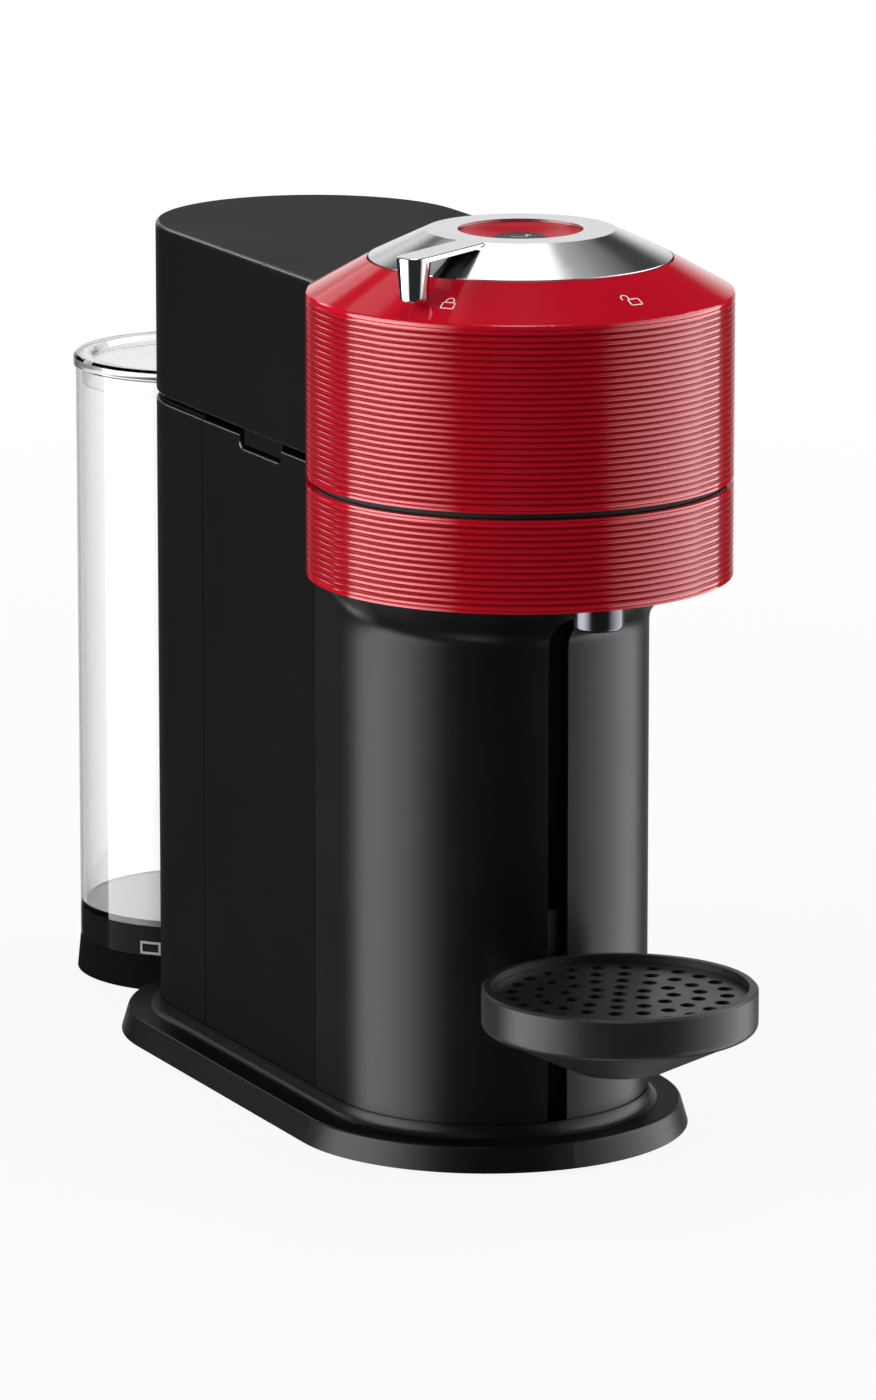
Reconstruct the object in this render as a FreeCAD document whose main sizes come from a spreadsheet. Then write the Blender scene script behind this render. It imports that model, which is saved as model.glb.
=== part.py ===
"""Pod coffee machine with a tilting head, in millimetres.

+Z is up, the front faces -Y and the origin is at the middle of the outer box, on the table.
"""
import FreeCAD, Part
import math
import os

import Sketcher

# Driving dimensions, one row each, in millimetres, degrees or counts.
SIZES = {
    # plan of the body: two round ends joined by straight sides
    "head_y": -94.55,
    "head_radius": 71.0,
    "body_half": 54.5,
    "body_length": 140.0,
    "shell_wall": 2.5,
    "column_side": 20.6,
    "panel_length": 91.8,
    "seam_gap": 0.5,
    # heights above the table
    "foot_height": 1.5,
    "base_rim_height": 10.0,
    "base_height": 14.5,
    "deck_height": 107.0,
    "flare_height": 176.0,
    "chamber_height": 196.5,
    "sleeve_top": 227.3,
    "split_height": 229.0,
    "split_gap": 2.5,
    "hood_top": 291.0,
    "cone_rise": 11.3,
    "lever_rise": 9.3,
    # base
    "base_flare": 14.0,
    "base_draft": 2.5,
    "base_collar": 0.6,
    "base_fillet": 4.0,
    "base_edge": 1.2,
    "base_skin": 3.5,
    "base_skirt": 5.0,
    "plate_thickness": 3.0,
    "foot_radius": 7.0,
    "foot_spread": 38.0,
    "screw_radius": 3.2,
    "screw_head": 1.4,
    # column slot and cup support
    "slot_width": 7.3,
    "slot_roof": 6.0,
    "support_radius": 45.5,
    "support_gap": 0.6,
    "support_top": 71.6,
    "support_depth": 14.4,
    "support_wall": 3.0,
    "tray_radius": 16.0,
    "tray_depth": 13.0,
    "grid_recess": 2.6,
    "grid_thickness": 2.4,
    "grid_hole": 2.55,
    "grid_rows": 4,
    "grid_row_step": 8.8,
    "arm_width": 6.6,
    "arm_height": 11.0,
    "carriage_width": 22.6,
    "carriage_depth": 7.4,
    "carriage_height": 40.0,
    "carriage_drop": 12.0,
    "channel_wall": 2.4,
    "channel_gap": 1.8,
    # hood and side panels
    "hood_edge": 1.5,
    "split_edge": 0.8,
    "lip_width": 1.2,
    "lip_height": 1.0,
    "notch_start": 26.4,
    "notch_length": 34.0,
    "notch_depth": 4.5,
    "notch_corner": 3.0,
    "lug_margin": 1.2,
    "lug_recess": 1.3,
    # ribbed covers of the head
    "rib_pitch": 2.0,
    "rib_width": 1.7,
    "rib_depth": 0.42,
    "cover_wall": 2.2,
    "cap_gap": 2.4,
    "cone_radius": 50.9,
    "rim_band": 1.2,
    "rim_edge": 1.2,
    # lever on top of the head
    "lever_flat": 31.4,
    "lever_hole": 20.8,
    "lever_wall": 2.0,
    "lever_gap": 0.4,
    "lever_angle": -147.5,
    "arm_half": 5.6,
    "arm_wall": 1.5,
    "arm_edge": 0.7,
    "arm_corner": 2.0,
    "arm_cutout": 0.5,
    "peg_reach": 66.0,
    "peg_height": 15.2,
    "peg_taper": 0.9,
    "peg_edge": 2.0,
    "hub_skirt": 8.0,
    # dish and button
    "dish_depth": 2.1,
    "button_radius": 8.7,
    "button_gap": 0.3,
    "button_height": 6.3,
    "post_radius": 16.0,
    "post_wall": 4.0,
    # brewing chamber
    "holder_rim": 33.0,
    "holder_mouth": 28.6,
    "holder_depth": 34.0,
    "holder_wall": 2.6,
    "holder_floor": 8.0,
    "holder_bend": 40.0,
    "chamber_wall": 2.0,
    "chamber_floor": 3.0,
    "weir_radius": 38.5,
    "weir_height": 23.0,
    "carrier_flange": 36.0,
    "carrier_hole": 30.0,
    "carrier_wall": 2.5,
    "spindle_radius": 4.0,
    "bearing_radius": 11.0,
    "bearing_width": 7.0,
    "bearing_tube": 37.0,
    "running_gap": 0.05,
    "fit_gap": 0.3,
    "spout_inset": 12.5,
    "spout_radius": 8.4,
    "spout_bore": 5.2,
    "spout_spigot": 6.9,
    "spout_drop": 8.6,
    # drive
    "pulley_radius": 12.0,
    "motor_pulley_radius": 7.7,
    "pulley_width": 8.0,
    "pulley_lip": 1.9,
    "belt_width": 5.0,
    "belt_thickness": 1.5,
    "motor_offset": 55.0,
    "motor_radius": 20.0,
    "motor_length": 58.0,
    "motor_shaft": 2.5,
    "bracket_thickness": 3.0,
    # lid
    "frame_thickness": 3.0,
    "frame_hole": 36.5,
    "plate_radius": 30.5,
    "plate_width": 5.0,
    "stub_radius": 6.0,
    "stub_length": 24.0,
    "needle_row": 26.0,
    "needle_length": 4.5,
    "needle_radius": 0.9,
    "needle_count": 20,
    "brew_head_radius": 33.0,
    "brew_head_height": 27.0,
    "seal_width": 4.5,
    "hose_radius": 3.0,
    "hose_height": 16.0,
    "hose_bend": 12.0,
    # hinge at the back
    "hinge_setback": 6.0,
    "hinge_rise": 10.0,
    "knuckle_radius": 4.5,
    "knuckle_width": 11.0,
    "ear_width": 9.5,
    "pin_radius": 2.0,
    # capsule bin and chassis
    "bin_front": -14.0,
    "bin_wall": 2.2,
    "bin_gap": 1.6,
    "bin_drop": 7.0,
    "chassis_wall": 3.0,
    "chassis_inset": 5.0,
    # water system
    "heater_radius": 24.0,
    "heater_height": 70.0,
    "pump_half": 20.0,
    "pump_length": 30.0,
    "pump_rise": 12.5,
    "flow_radius": 12.0,
    "flow_height": 15.0,
    "board_thickness": 1.6,
    # tank
    "tank_radius": 43.5,
    "tank_wall": 2.0,
    "tank_gap": 1.7,
    "tank_overhang": 0.8,
    "tank_foot": 13.9,
    "tank_floor": 25.0,
    "tank_top": 224.0,
    "tank_lid_top": 228.4,
    "lid_recess": 37.0,
    "lid_plug": 6.0,
    "holder_draft": 1.2,
    "valve_radius": 7.8,
    "valve_flange": 11.0,
    "latch_angle": -138.0,
    "latch_width": 8.0,
    "latch_height": 4.6,
    "latch_line": 0.8,
    "latch_proud": 0.4,
    # cord gland
    "gland_radius": 5.5,
    "gland_bore": 3.5,
    "gland_length": 14.0,
    "gland_angle": 45.0,
}


class Size:
    """A value together with the expression that ties it to the sheet."""

    def __init__(self, value, text):
        self.value = value
        self.text = text

    def __add__(self, other):
        other = sized(other)
        return Size(self.value + other.value, "(%s + %s)" % (self.text, other.text))

    def __sub__(self, other):
        other = sized(other)
        return Size(self.value - other.value, "(%s - %s)" % (self.text, other.text))

    def __mul__(self, other):
        other = sized(other)
        return Size(self.value * other.value, "(%s * %s)" % (self.text, other.text))

    def __truediv__(self, other):
        other = sized(other)
        return Size(self.value / other.value, "(%s / %s)" % (self.text, other.text))

    def __neg__(self):
        return Size(-self.value, "(0 - %s)" % self.text)

    def __radd__(self, other):
        return sized(other) + self

    def __rsub__(self, other):
        return sized(other) - self

    def __rmul__(self, other):
        return sized(other) * self


def sized(number):
    """Take a plain number as a Size that depends on nothing."""
    if isinstance(number, Size):
        return number
    return Size(float(number), repr(float(number)))


def root(size):
    """Square root of a Size."""
    return Size(math.sqrt(size.value), "sqrt(%s)" % size.text)


def whole(size):
    """A Size rounded down to a whole number."""
    return Size(float(math.floor(size.value)), "floor(%s)" % size.text)


def leg(hypotenuse, side):
    """Other short side of a right triangle."""
    return root(hypotenuse * hypotenuse - side * side)


def cosine(degrees):
    """Cosine of an angle in degrees."""
    return Size(math.cos(math.radians(degrees.value)), "cos(%s * 1 deg)" % degrees.text)


def sine(degrees):
    """Sine of an angle in degrees."""
    return Size(math.sin(math.radians(degrees.value)), "sin(%s * 1 deg)" % degrees.text)


DOC = FreeCAD.newDocument("PodCoffeeMachine")
SHEET = DOC.addObject("Spreadsheet::Sheet", "Sizes")
for row, (alias, number) in enumerate(SIZES.items(), start=1):
    SHEET.set("A%d" % row, alias)
    SHEET.set("B%d" % row, repr(number))
    SHEET.setAlias("B%d" % row, alias)
DOC.recompute()


class Sheet:
    """Gives each row of the sheet as a Size."""

    def __getattr__(self, alias):
        return Size(float(SHEET.get(alias)), "Sizes." + alias)


S = Sheet()
NODES = []
ZERO = sized(0)
BEYOND = sized(5)


def node(label, piece):
    """Keep an object as one sub-part of the machine."""
    piece.Label = label
    NODES.append(piece)
    return piece


def bind(piece, **sizes):
    """Tie properties of an object to the sheet."""
    for name, size in sizes.items():
        piece.setExpression(name, sized(size).text)
    return piece


def place(piece, x=ZERO, y=ZERO, z=ZERO):
    """Tie the place of an object to the sheet."""
    for axis, size in (("x", x), ("y", y), ("z", z)):
        piece.setExpression("Placement.Base." + axis, sized(size).text)
    return piece


def turn(piece, axis, angle):
    """Turn an object about an axis through its own place."""
    piece.Placement = FreeCAD.Placement(FreeCAD.Vector(), FreeCAD.Rotation(FreeCAD.Vector(*axis), 0))
    piece.setExpression("Placement.Rotation.Angle", "%s * 1 deg" % sized(angle).text)
    return piece


def box(name, low, high):
    """Box between two corners."""
    piece = DOC.addObject("Part::Box", name)
    bind(piece, Length=high[0] - low[0], Width=high[1] - low[1], Height=high[2] - low[2])
    return place(piece, *low)


def cylinder(name, radius, x, y, low, high):
    """Upright cylinder between two heights."""
    piece = DOC.addObject("Part::Cylinder", name)
    bind(piece, Radius=radius, Height=high - low)
    return place(piece, x, y, low)


def cross_cylinder(name, radius, length, y, z):
    """Cylinder along X, centred on the middle plane."""
    piece = DOC.addObject("Part::Cylinder", name)
    bind(piece, Radius=radius, Height=length)
    turn(piece, (0, 1, 0), 90)
    return place(piece, -length / 2, y, z)


def fuse(name, *pieces):
    """Join pieces into one."""
    joined = DOC.addObject("Part::MultiFuse", name)
    joined.Shapes = list(pieces)
    joined.Refine = True
    return joined


def cut(name, base, *tools):
    """Take tools away from a base."""
    left = DOC.addObject("Part::Cut", name)
    left.Base = base
    left.Tool = tools[0] if len(tools) == 1 else fuse(name + "_tools", *tools)
    left.Refine = True
    return left


def group(name, *pieces):
    """Keep equal pieces together as separate solids."""
    together = DOC.addObject("Part::Compound", name)
    together.Links = list(pieces)
    return together


def sketch(body, role, height=ZERO):
    """New sketch on one of a body's own planes, raised along the plane's normal."""
    plane = next(f for f in body.Origin.OriginFeatures if f.Role == role)
    drawing = body.newObject("Sketcher::SketchObject", body.Name + "_sketch")
    drawing.AttachmentSupport = (plane, [""])
    drawing.MapMode = "FlatFace"
    drawing.setExpression("AttachmentOffset.Base.z", sized(height).text)
    return drawing


def limit(drawing, constraint, size):
    """Add a constraint whose value follows the sheet."""
    index = drawing.addConstraint(constraint)
    drawing.setExpression("Constraints[%d]" % index, size.text)


def pin_point(drawing, edge, end, x, y):
    """Hold one end of an edge at a place in the sketch."""
    if x.value == 0:
        drawing.addConstraint(Sketcher.Constraint("PointOnObject", edge, end, -2))
    else:
        limit(drawing, Sketcher.Constraint("DistanceX", -1, 1, edge, end, x.value), x)
    if y.value == 0:
        drawing.addConstraint(Sketcher.Constraint("PointOnObject", edge, end, -1))
    else:
        limit(drawing, Sketcher.Constraint("DistanceY", -1, 1, edge, end, y.value), y)


def arc_between(start, end, radius):
    """Shorter arc between two points, bending left when the radius is positive."""
    chord = end - start
    middle = (start + end) * 0.5
    left = FreeCAD.Vector(-chord.y, chord.x, 0).normalize()
    rise = math.sqrt(max(radius * radius - chord.Length ** 2 / 4, 0))
    centre = middle + left * math.copysign(rise, radius)
    circle = Part.Circle(centre, FreeCAD.Vector(0, 0, 1), abs(radius))
    first, last = (start, end) if radius > 0 else (end, start)
    from_angle = math.atan2(first.y - centre.y, first.x - centre.x)
    to_angle = math.atan2(last.y - centre.y, last.x - centre.x)
    return Part.ArcOfCircle(circle, from_angle, to_angle)


def path(drawing, corners):
    """Draw a line from corner to corner.

    A corner is (x, y), or (x, y, radius) where the stretch after it is an arc: a positive radius
    has its centre on the left of the way to the next corner, a negative one on the right.
    """
    corners = [tuple(sized(c) for c in corner) for corner in corners]
    points = [FreeCAD.Vector(c[0].value, c[1].value, 0) for c in corners]
    edges = []
    for corner, start, end in zip(corners, points, points[1:]):
        if len(corner) == 2:
            edges.append((drawing.addGeometry(Part.LineSegment(start, end)), 1, 2))
            continue
        edge = drawing.addGeometry(arc_between(start, end, corner[2].value))
        edges.append((edge, 1, 2) if corner[2].value > 0 else (edge, 2, 1))
        radius = corner[2] if corner[2].value > 0 else -corner[2]
        limit(drawing, Sketcher.Constraint("Radius", edge, radius.value), radius)
    for (edge, _, finish), (following, begin, _) in zip(edges, edges[1:]):
        drawing.addConstraint(Sketcher.Constraint("Coincident", edge, finish, following, begin))
    for (edge, begin, _), corner in zip(edges, corners):
        pin_point(drawing, edge, begin, corner[0], corner[1])
    return edges


def outline(drawing, corners):
    """Draw a closed line through corners given as for a path."""
    edges = path(drawing, corners + corners[:1])
    last, _, finish = edges[-1]
    first, begin, _ = edges[0]
    drawing.addConstraint(Sketcher.Constraint("Coincident", last, finish, first, begin))


def ring(drawing, radius, x, y):
    """Draw a circle."""
    centre = FreeCAD.Vector(x.value, y.value, 0)
    edge = drawing.addGeometry(Part.Circle(centre, FreeCAD.Vector(0, 0, 1), radius.value))
    pin_point(drawing, edge, 3, x, y)
    limit(drawing, Sketcher.Constraint("Radius", edge, radius.value), radius)


def new_body(name):
    """Empty solid body."""
    return DOC.addObject("PartDesign::Body", name)


def pad(body, drawing, length):
    """Raise a sketch along its normal."""
    raised = body.newObject("PartDesign::Pad", body.Name + "_pad")
    raised.Profile = drawing
    return bind(raised, Length=length)


def pocket(body, drawing, depth):
    """Sink a sketch against its normal."""
    sunk = body.newObject("PartDesign::Pocket", body.Name + "_pocket")
    sunk.Profile = drawing
    return bind(sunk, Length=depth)


def loft(body, drawings, ruled):
    """Skin through several sketches."""
    skin = body.newObject("PartDesign::AdditiveLoft", body.Name + "_loft")
    skin.Profile = drawings[0]
    skin.Sections = drawings[1:]
    skin.Ruled = ruled
    return skin


def fillet(body, radius, pick):
    """Round the edges of a body that a test picks out."""
    DOC.recompute()
    base = body.Tip
    names = ["Edge%d" % (i + 1) for i, edge in enumerate(base.Shape.Edges) if pick(edge)]
    rounded = body.newObject("PartDesign::Fillet", body.Name + "_fillet")
    rounded.Base = (base, names)
    return bind(rounded, Radius=radius)


def flat_at(height):
    """Test for edges that lie level at a height."""
    def pick(edge):
        bounds = edge.BoundBox
        return abs(bounds.ZMin - height.value) < 1e-4 and abs(bounds.ZMax - height.value) < 1e-4
    return pick


def middle_of(edge):
    """Point half way along an edge."""
    return edge.valueAt((edge.FirstParameter + edge.LastParameter) / 2)


def turned(name, y, corners):
    """Body turned about an upright axis on the middle plane, from (radius, height) corners."""
    body = new_body(name)
    drawing = sketch(body, "XZ_Plane")
    outline(drawing, corners)
    spun = body.newObject("PartDesign::Revolution", name + "_turn")
    spun.Profile = drawing
    spun.ReferenceAxis = (drawing, ["V_Axis"])
    spun.Angle = 360
    return place(body, y=y)


def raised(name, corners, low, high):
    """Body raised from a plan outline between two heights."""
    body = new_body(name)
    drawing = sketch(body, "XY_Plane", low)
    outline(drawing, corners)
    pad(body, drawing, high - low)
    return body


# Places that follow from the driving dimensions.
HEAD_Y = S.head_y
INNER_HALF = S.body_half - S.shell_wall
DRIVE_REACH = S.bearing_radius + S.carrier_wall + S.channel_gap
CHANNEL_REACH = S.channel_wall + S.fit_gap + S.carriage_depth + S.fit_gap * 1.2
HEAD_REACH = leg(INNER_HALF, S.carriage_width / 2) - DRIVE_REACH - CHANNEL_REACH
COLUMN_Y = HEAD_Y + HEAD_REACH
REAR_Y = COLUMN_Y + S.body_length
REAR_FACE = REAR_Y + S.body_half
CHASSIS_HALF = INNER_HALF - S.chassis_inset
FRONT_SEAM = COLUMN_Y + S.column_side
REAR_SEAM = FRONT_SEAM + S.panel_length
SUPPORT_Y = COLUMN_Y - S.body_half - S.support_gap - S.support_radius
TANK_Y = REAR_FACE + S.tank_gap + S.tank_overhang + S.tank_radius
HOLDER_RADIUS = S.tank_radius + S.holder_draft
HOOD_BOTTOM = S.split_height + S.split_gap
CAP_BOTTOM = S.sleeve_top + S.cap_gap
FRAME_LOW = HOOD_BOTTOM + S.seam_gap
FRAME_HIGH = FRAME_LOW + S.frame_thickness
HINGE_Y = REAR_FACE - S.hinge_setback
HINGE_Z = S.split_height + S.hinge_rise
HINGE_HALF = S.knuckle_width / 2 + S.fit_gap + S.ear_width + S.fit_gap
HINGE_CLEAR = S.knuckle_radius + 2
CHAMBER_RADIUS = S.head_radius - S.cover_wall - S.fit_gap
SPOUT_Y = HEAD_Y - S.head_radius + S.spout_inset
FLOOR_TOP = S.chamber_height + S.chamber_floor
HOLDER_TOP = S.sleeve_top + 0.5
HOLDER_FOOT = HOLDER_TOP - S.holder_depth - S.holder_wall
TUBE_LOW = HOLDER_FOOT - S.bearing_tube - 4
PULLEY_HIGH = TUBE_LOW - 3
PULLEY_LOW = PULLEY_HIGH - S.pulley_width
BRACKET_HIGH = PULLEY_LOW - 5
BRACKET_LOW = BRACKET_HIGH - S.bracket_thickness
MOTOR_Y = HEAD_Y + S.motor_offset
CONE_TOP = S.hood_top + S.cone_rise
LEVER_TOP = CONE_TOP + S.lever_rise
DISH_TOP = LEVER_TOP - 1
DISH_LOW = DISH_TOP - S.dish_depth - 3


def stadium(low_y, high_y, half):
    """Plan outline with two round ends."""
    return [(half, low_y), (half, high_y, half), (0, high_y + half, half), (-half, high_y),
            (-half, low_y, half), (0, low_y - half, half)]


def rounded_back(front_y, half):
    """Plan outline that is square in front and round at the back."""
    return [(half, front_y), (half, REAR_Y, half), (0, REAR_Y + half, half), (-half, REAR_Y),
            (-half, front_y)]


def rounded_front(back_y, half):
    """Plan outline that is round in front and square at the back."""
    return [(half, back_y), (-half, back_y), (-half, COLUMN_Y, half), (0, COLUMN_Y - half, half),
            (half, COLUMN_Y)]


def spine_distance(edge):
    """How far the middle of an edge lies from the line between the body's two round ends."""
    point = middle_of(edge)
    along = min(max(point.y, COLUMN_Y.value), REAR_Y.value)
    return math.hypot(point.x, point.y - along)


def make_base():
    """Flared foot, its bottom plate, rubber feet and screws."""
    outer = S.body_half + S.base_flare
    collar = S.body_half + S.base_collar
    body = new_body("foot_shell")
    bottom = sketch(body, "XY_Plane", S.foot_height)
    outline(bottom, stadium(COLUMN_Y, REAR_Y, outer))
    rim = sketch(body, "XY_Plane", S.base_rim_height)
    outline(rim, stadium(COLUMN_Y, REAR_Y, outer - S.base_draft))
    loft(body, [bottom, rim], True)
    upper = sketch(body, "XY_Plane", S.base_rim_height)
    outline(upper, stadium(COLUMN_Y, REAR_Y, collar))
    pad(body, upper, S.base_height - S.base_rim_height)

    def inner_corner(edge):
        return flat_at(S.base_rim_height)(edge) and spine_distance(edge) < collar.value + 0.5

    def outer_rim(edge):
        return flat_at(S.base_rim_height)(edge) and spine_distance(edge) > collar.value + 0.5

    fillet(body, S.base_edge, outer_rim)
    fillet(body, S.base_fillet, inner_corner)
    hollow = sketch(body, "XY_Plane", S.base_rim_height - S.base_skin)
    outline(hollow, stadium(COLUMN_Y, REAR_Y, outer - S.base_skirt))
    pocket(body, hollow, S.base_rim_height)
    bay = cylinder("foot_bay", HOLDER_RADIUS + S.fit_gap, ZERO, TANK_Y, -BEYOND, S.base_height + BEYOND)
    node("base_shell", cut("foot_with_bay", body, bay))

    plate = raised("bottom_sheet", stadium(COLUMN_Y, REAR_Y, outer - S.base_skirt - S.fit_gap),
                   S.foot_height, S.foot_height + S.plate_thickness)
    plate_bay = cylinder("plate_bay", HOLDER_RADIUS + S.fit_gap, ZERO, TANK_Y, ZERO, S.base_height)
    spots = [(side * S.foot_spread / 2, y) for side in (-1, 1) for y in (COLUMN_Y, REAR_Y)]
    recesses = [cylinder("screw_recess", S.screw_radius + S.fit_gap, x, y, ZERO,
                         S.foot_height + S.screw_head) for x, y in spots]
    node("base_plate", cut("plate_with_recesses", plate, plate_bay, *recesses))
    screws = [cylinder("screw", S.screw_radius, x, y, S.foot_height, S.foot_height + S.screw_head)
              for x, y in spots]
    node("base_screws", group("plate_screws", *screws))

    corners = [(side * S.foot_spread, y) for side in (-1, 1)
               for y in (HEAD_Y, REAR_Y + S.foot_radius)]
    corners += [(side * S.foot_spread / 2, TANK_Y + S.foot_spread / 2) for side in (-1, 1)]
    feet = [cylinder("foot", S.foot_radius, x, y, ZERO, S.foot_height) for x, y in corners]
    node("rubber_feet", group("foot_pads", *feet))


def make_column():
    """Front column with its slot, flaring out to the underside of the head."""
    back = FRONT_SEAM - S.seam_gap / 2
    body = new_body("column")
    drawing = sketch(body, "XY_Plane", S.base_height)
    outline(drawing, rounded_front(back, S.body_half))
    pad(body, drawing, S.flare_height - S.base_height)
    rim = S.head_radius - S.rim_band
    steps = 4
    levels = []
    for step in range(steps + 1):
        share = sized(step / steps)
        growth = share * share
        front = (S.body_half - HEAD_REACH) * (1 - growth) + rim * growth
        side = HEAD_REACH * (1 - growth) + leg(rim, S.body_half) * growth
        sagitta = front + side
        bend = (S.body_half * S.body_half + sagitta * sagitta) / (sagitta * 2)
        level = sketch(body, "XY_Plane", S.flare_height + (S.chamber_height - S.flare_height) * share)
        outline(level, [(S.body_half, back), (-S.body_half, back), (-S.body_half, HEAD_Y + side, bend),
                        (0, HEAD_Y - front, bend), (S.body_half, HEAD_Y + side)])
        levels.append(level)
    loft(body, levels, False)
    top = S.chamber_height + BEYOND
    hollow = sketch(body, "XY_Plane", top)
    outline(hollow, rounded_front(back + BEYOND, INNER_HALF))
    pocket(body, hollow, top)
    slot = box("slot", (-S.slot_width / 2, HEAD_Y - S.head_radius, S.base_height - BEYOND),
               (S.slot_width / 2, COLUMN_Y - INNER_HALF + BEYOND, S.chamber_height - S.slot_roof))
    spout_hole = cylinder("spout_way", S.spout_radius + S.fit_gap, ZERO, SPOUT_Y,
                          S.flare_height, top)
    node("front_column", cut("column_with_slot", body, slot, spout_hole))


def make_panels():
    """Side panels with the notch for the hood's lug, and the round rear shell."""
    low = S.base_height
    high = S.split_height
    start = FRONT_SEAM + S.seam_gap / 2
    end = REAR_SEAM - S.seam_gap / 2
    notch = FRONT_SEAM + S.notch_start
    floor = high - S.notch_depth
    bend = S.notch_corner
    corners = [(start, low), (end, low), (end, high), (notch + S.notch_length, high),
               (notch + S.notch_length, floor + bend, -bend), (notch + S.notch_length - bend, floor),
               (notch + bend, floor, -bend), (notch, floor + bend), (notch, high), (start, high)]
    for label, x, face in (("side_panel_left", -S.body_half, ZERO),
                           ("side_panel_right", INNER_HALF, S.shell_wall)):
        body = new_body(label + "_sheet")
        drawing = sketch(body, "YZ_Plane")
        outline(drawing, corners)
        pad(body, drawing, S.shell_wall)

        def upper_edge(edge):
            bounds = edge.BoundBox
            outside = max(abs(bounds.XMin - face.value), abs(bounds.XMax - face.value)) < 1e-4
            return outside and bounds.ZMin > floor.value - 1e-4

        fillet(body, S.split_edge, upper_edge)
        node(label, place(body, x=x))

    seam = REAR_SEAM + S.seam_gap / 2
    shell = raised("rear_wall", rear_band(seam, S.body_half), low, high)

    def outer_edge(edge):
        return flat_at(high)(edge) and spine_distance(edge) > S.body_half.value - 0.1

    fillet(shell, S.split_edge, outer_edge)
    lip = raised("rear_lip", rear_band(seam, INNER_HALF + S.lip_width), high - BEYOND, high + S.lip_height)
    ears = []
    for side in (-1, 1):
        near = S.knuckle_width / 2 + S.fit_gap
        middle = side * (near + S.ear_width / 2)
        ears.append(box("ear_stem", (middle - S.ear_width / 2, HINGE_Y - S.knuckle_radius, high - BEYOND),
                        (middle + S.ear_width / 2, HINGE_Y + S.knuckle_radius, HINGE_Z)))
        round_top = cross_cylinder("ear_round", S.knuckle_radius, S.ear_width, HINGE_Y, HINGE_Z)
        ears.append(place(round_top, middle - S.ear_width / 2, HINGE_Y, HINGE_Z))
    bore = cross_cylinder("ear_bore", S.pin_radius + S.running_gap, HINGE_HALF * 2, HINGE_Y, HINGE_Z)
    gland_hole = gland_cylinder("gland_hole", S.gland_radius + S.running_gap, INNER_HALF - BEYOND,
                                S.body_half + BEYOND)
    node("rear_shell", cut("rear_with_bore", fuse("rear_with_ears", shell, lip, *ears), bore, gland_hole))
    pin = cross_cylinder("pin", S.pin_radius, (HINGE_HALF - S.fit_gap) * 2, HINGE_Y, HINGE_Z)
    node("hinge_pin", pin)


def rear_band(seam, half):
    """Plan outline of a band round the back, from the inside of the shell out to a half width."""
    inner = INNER_HALF
    return [(half, seam), (half, REAR_Y, half), (0, REAR_Y + half, half), (-half, REAR_Y), (-half, seam),
            (-inner, seam), (-inner, REAR_Y, -inner), (0, REAR_Y + inner, -inner), (inner, REAR_Y),
            (inner, seam)]


def gland_cylinder(name, radius, near, far):
    """Level cylinder that points out of the rear shell at the gland's angle."""
    piece = DOC.addObject("Part::Cylinder", name)
    bind(piece, Radius=radius, Height=far - near)
    piece.Placement = FreeCAD.Placement(FreeCAD.Vector(), FreeCAD.Rotation(FreeCAD.Vector(0, 1, 0), 90))
    piece.setExpression("Placement.Rotation.Axis.x", (-sine(S.gland_angle)).text)
    piece.setExpression("Placement.Rotation.Axis.y", cosine(S.gland_angle).text)
    height = S.base_height + S.gland_radius * 2
    return place(piece, near * cosine(S.gland_angle), REAR_Y + near * sine(S.gland_angle), height)


def make_gland():
    """Cord gland in the rear shell, bored for the cord."""
    barrel = gland_cylinder("gland_barrel", S.gland_radius, INNER_HALF - S.gland_radius / 2,
                            S.body_half + S.fit_gap)
    flange = gland_cylinder("gland_flange", S.gland_radius + 2, S.body_half + S.fit_gap / 2,
                            S.body_half + S.shell_wall)
    nose = gland_cylinder("gland_nose", S.gland_radius - 1, S.body_half + S.fit_gap,
                          S.body_half + S.gland_length)
    bore = gland_cylinder("gland_way", S.gland_bore, INNER_HALF - S.gland_length,
                          S.body_half + S.gland_length + BEYOND)
    node("cord_gland", cut("gland_bored", fuse("gland_outside", barrel, flange, nose), bore))


def ribs(body, radius, low, high):
    """Fine level ribs round a cover, softened in section, that fill the space between two heights."""
    count = whole((high - low) / S.rib_pitch)
    pitch = (high - low) / count
    start = low + (pitch - S.rib_width) / 2
    end = start + S.rib_width
    valley = radius - S.rib_depth
    shoulder = valley + S.rib_depth * 0.6
    near = S.rib_width * 0.16
    far = S.rib_width * 0.36
    drawing = sketch(body, "XZ_Plane")
    outline(drawing, [(valley - S.rib_depth, start), (valley, start), (shoulder, start + near),
                      (radius, start + far), (radius, end - far), (shoulder, end - near), (valley, end),
                      (valley - S.rib_depth, end)])
    rib = body.newObject("PartDesign::Revolution", body.Name + "_rib")
    rib.Profile = drawing
    rib.ReferenceAxis = (drawing, ["V_Axis"])
    rib.Angle = 360
    DOC.recompute()
    pattern = body.newObject("PartDesign::LinearPattern", body.Name + "_ribs")
    pattern.Originals = [rib]
    pattern.Direction = (drawing, ["V_Axis"])
    bind(pattern, Occurrences=count, Length=pitch * (count - 1))
    body.Tip = pattern


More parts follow.
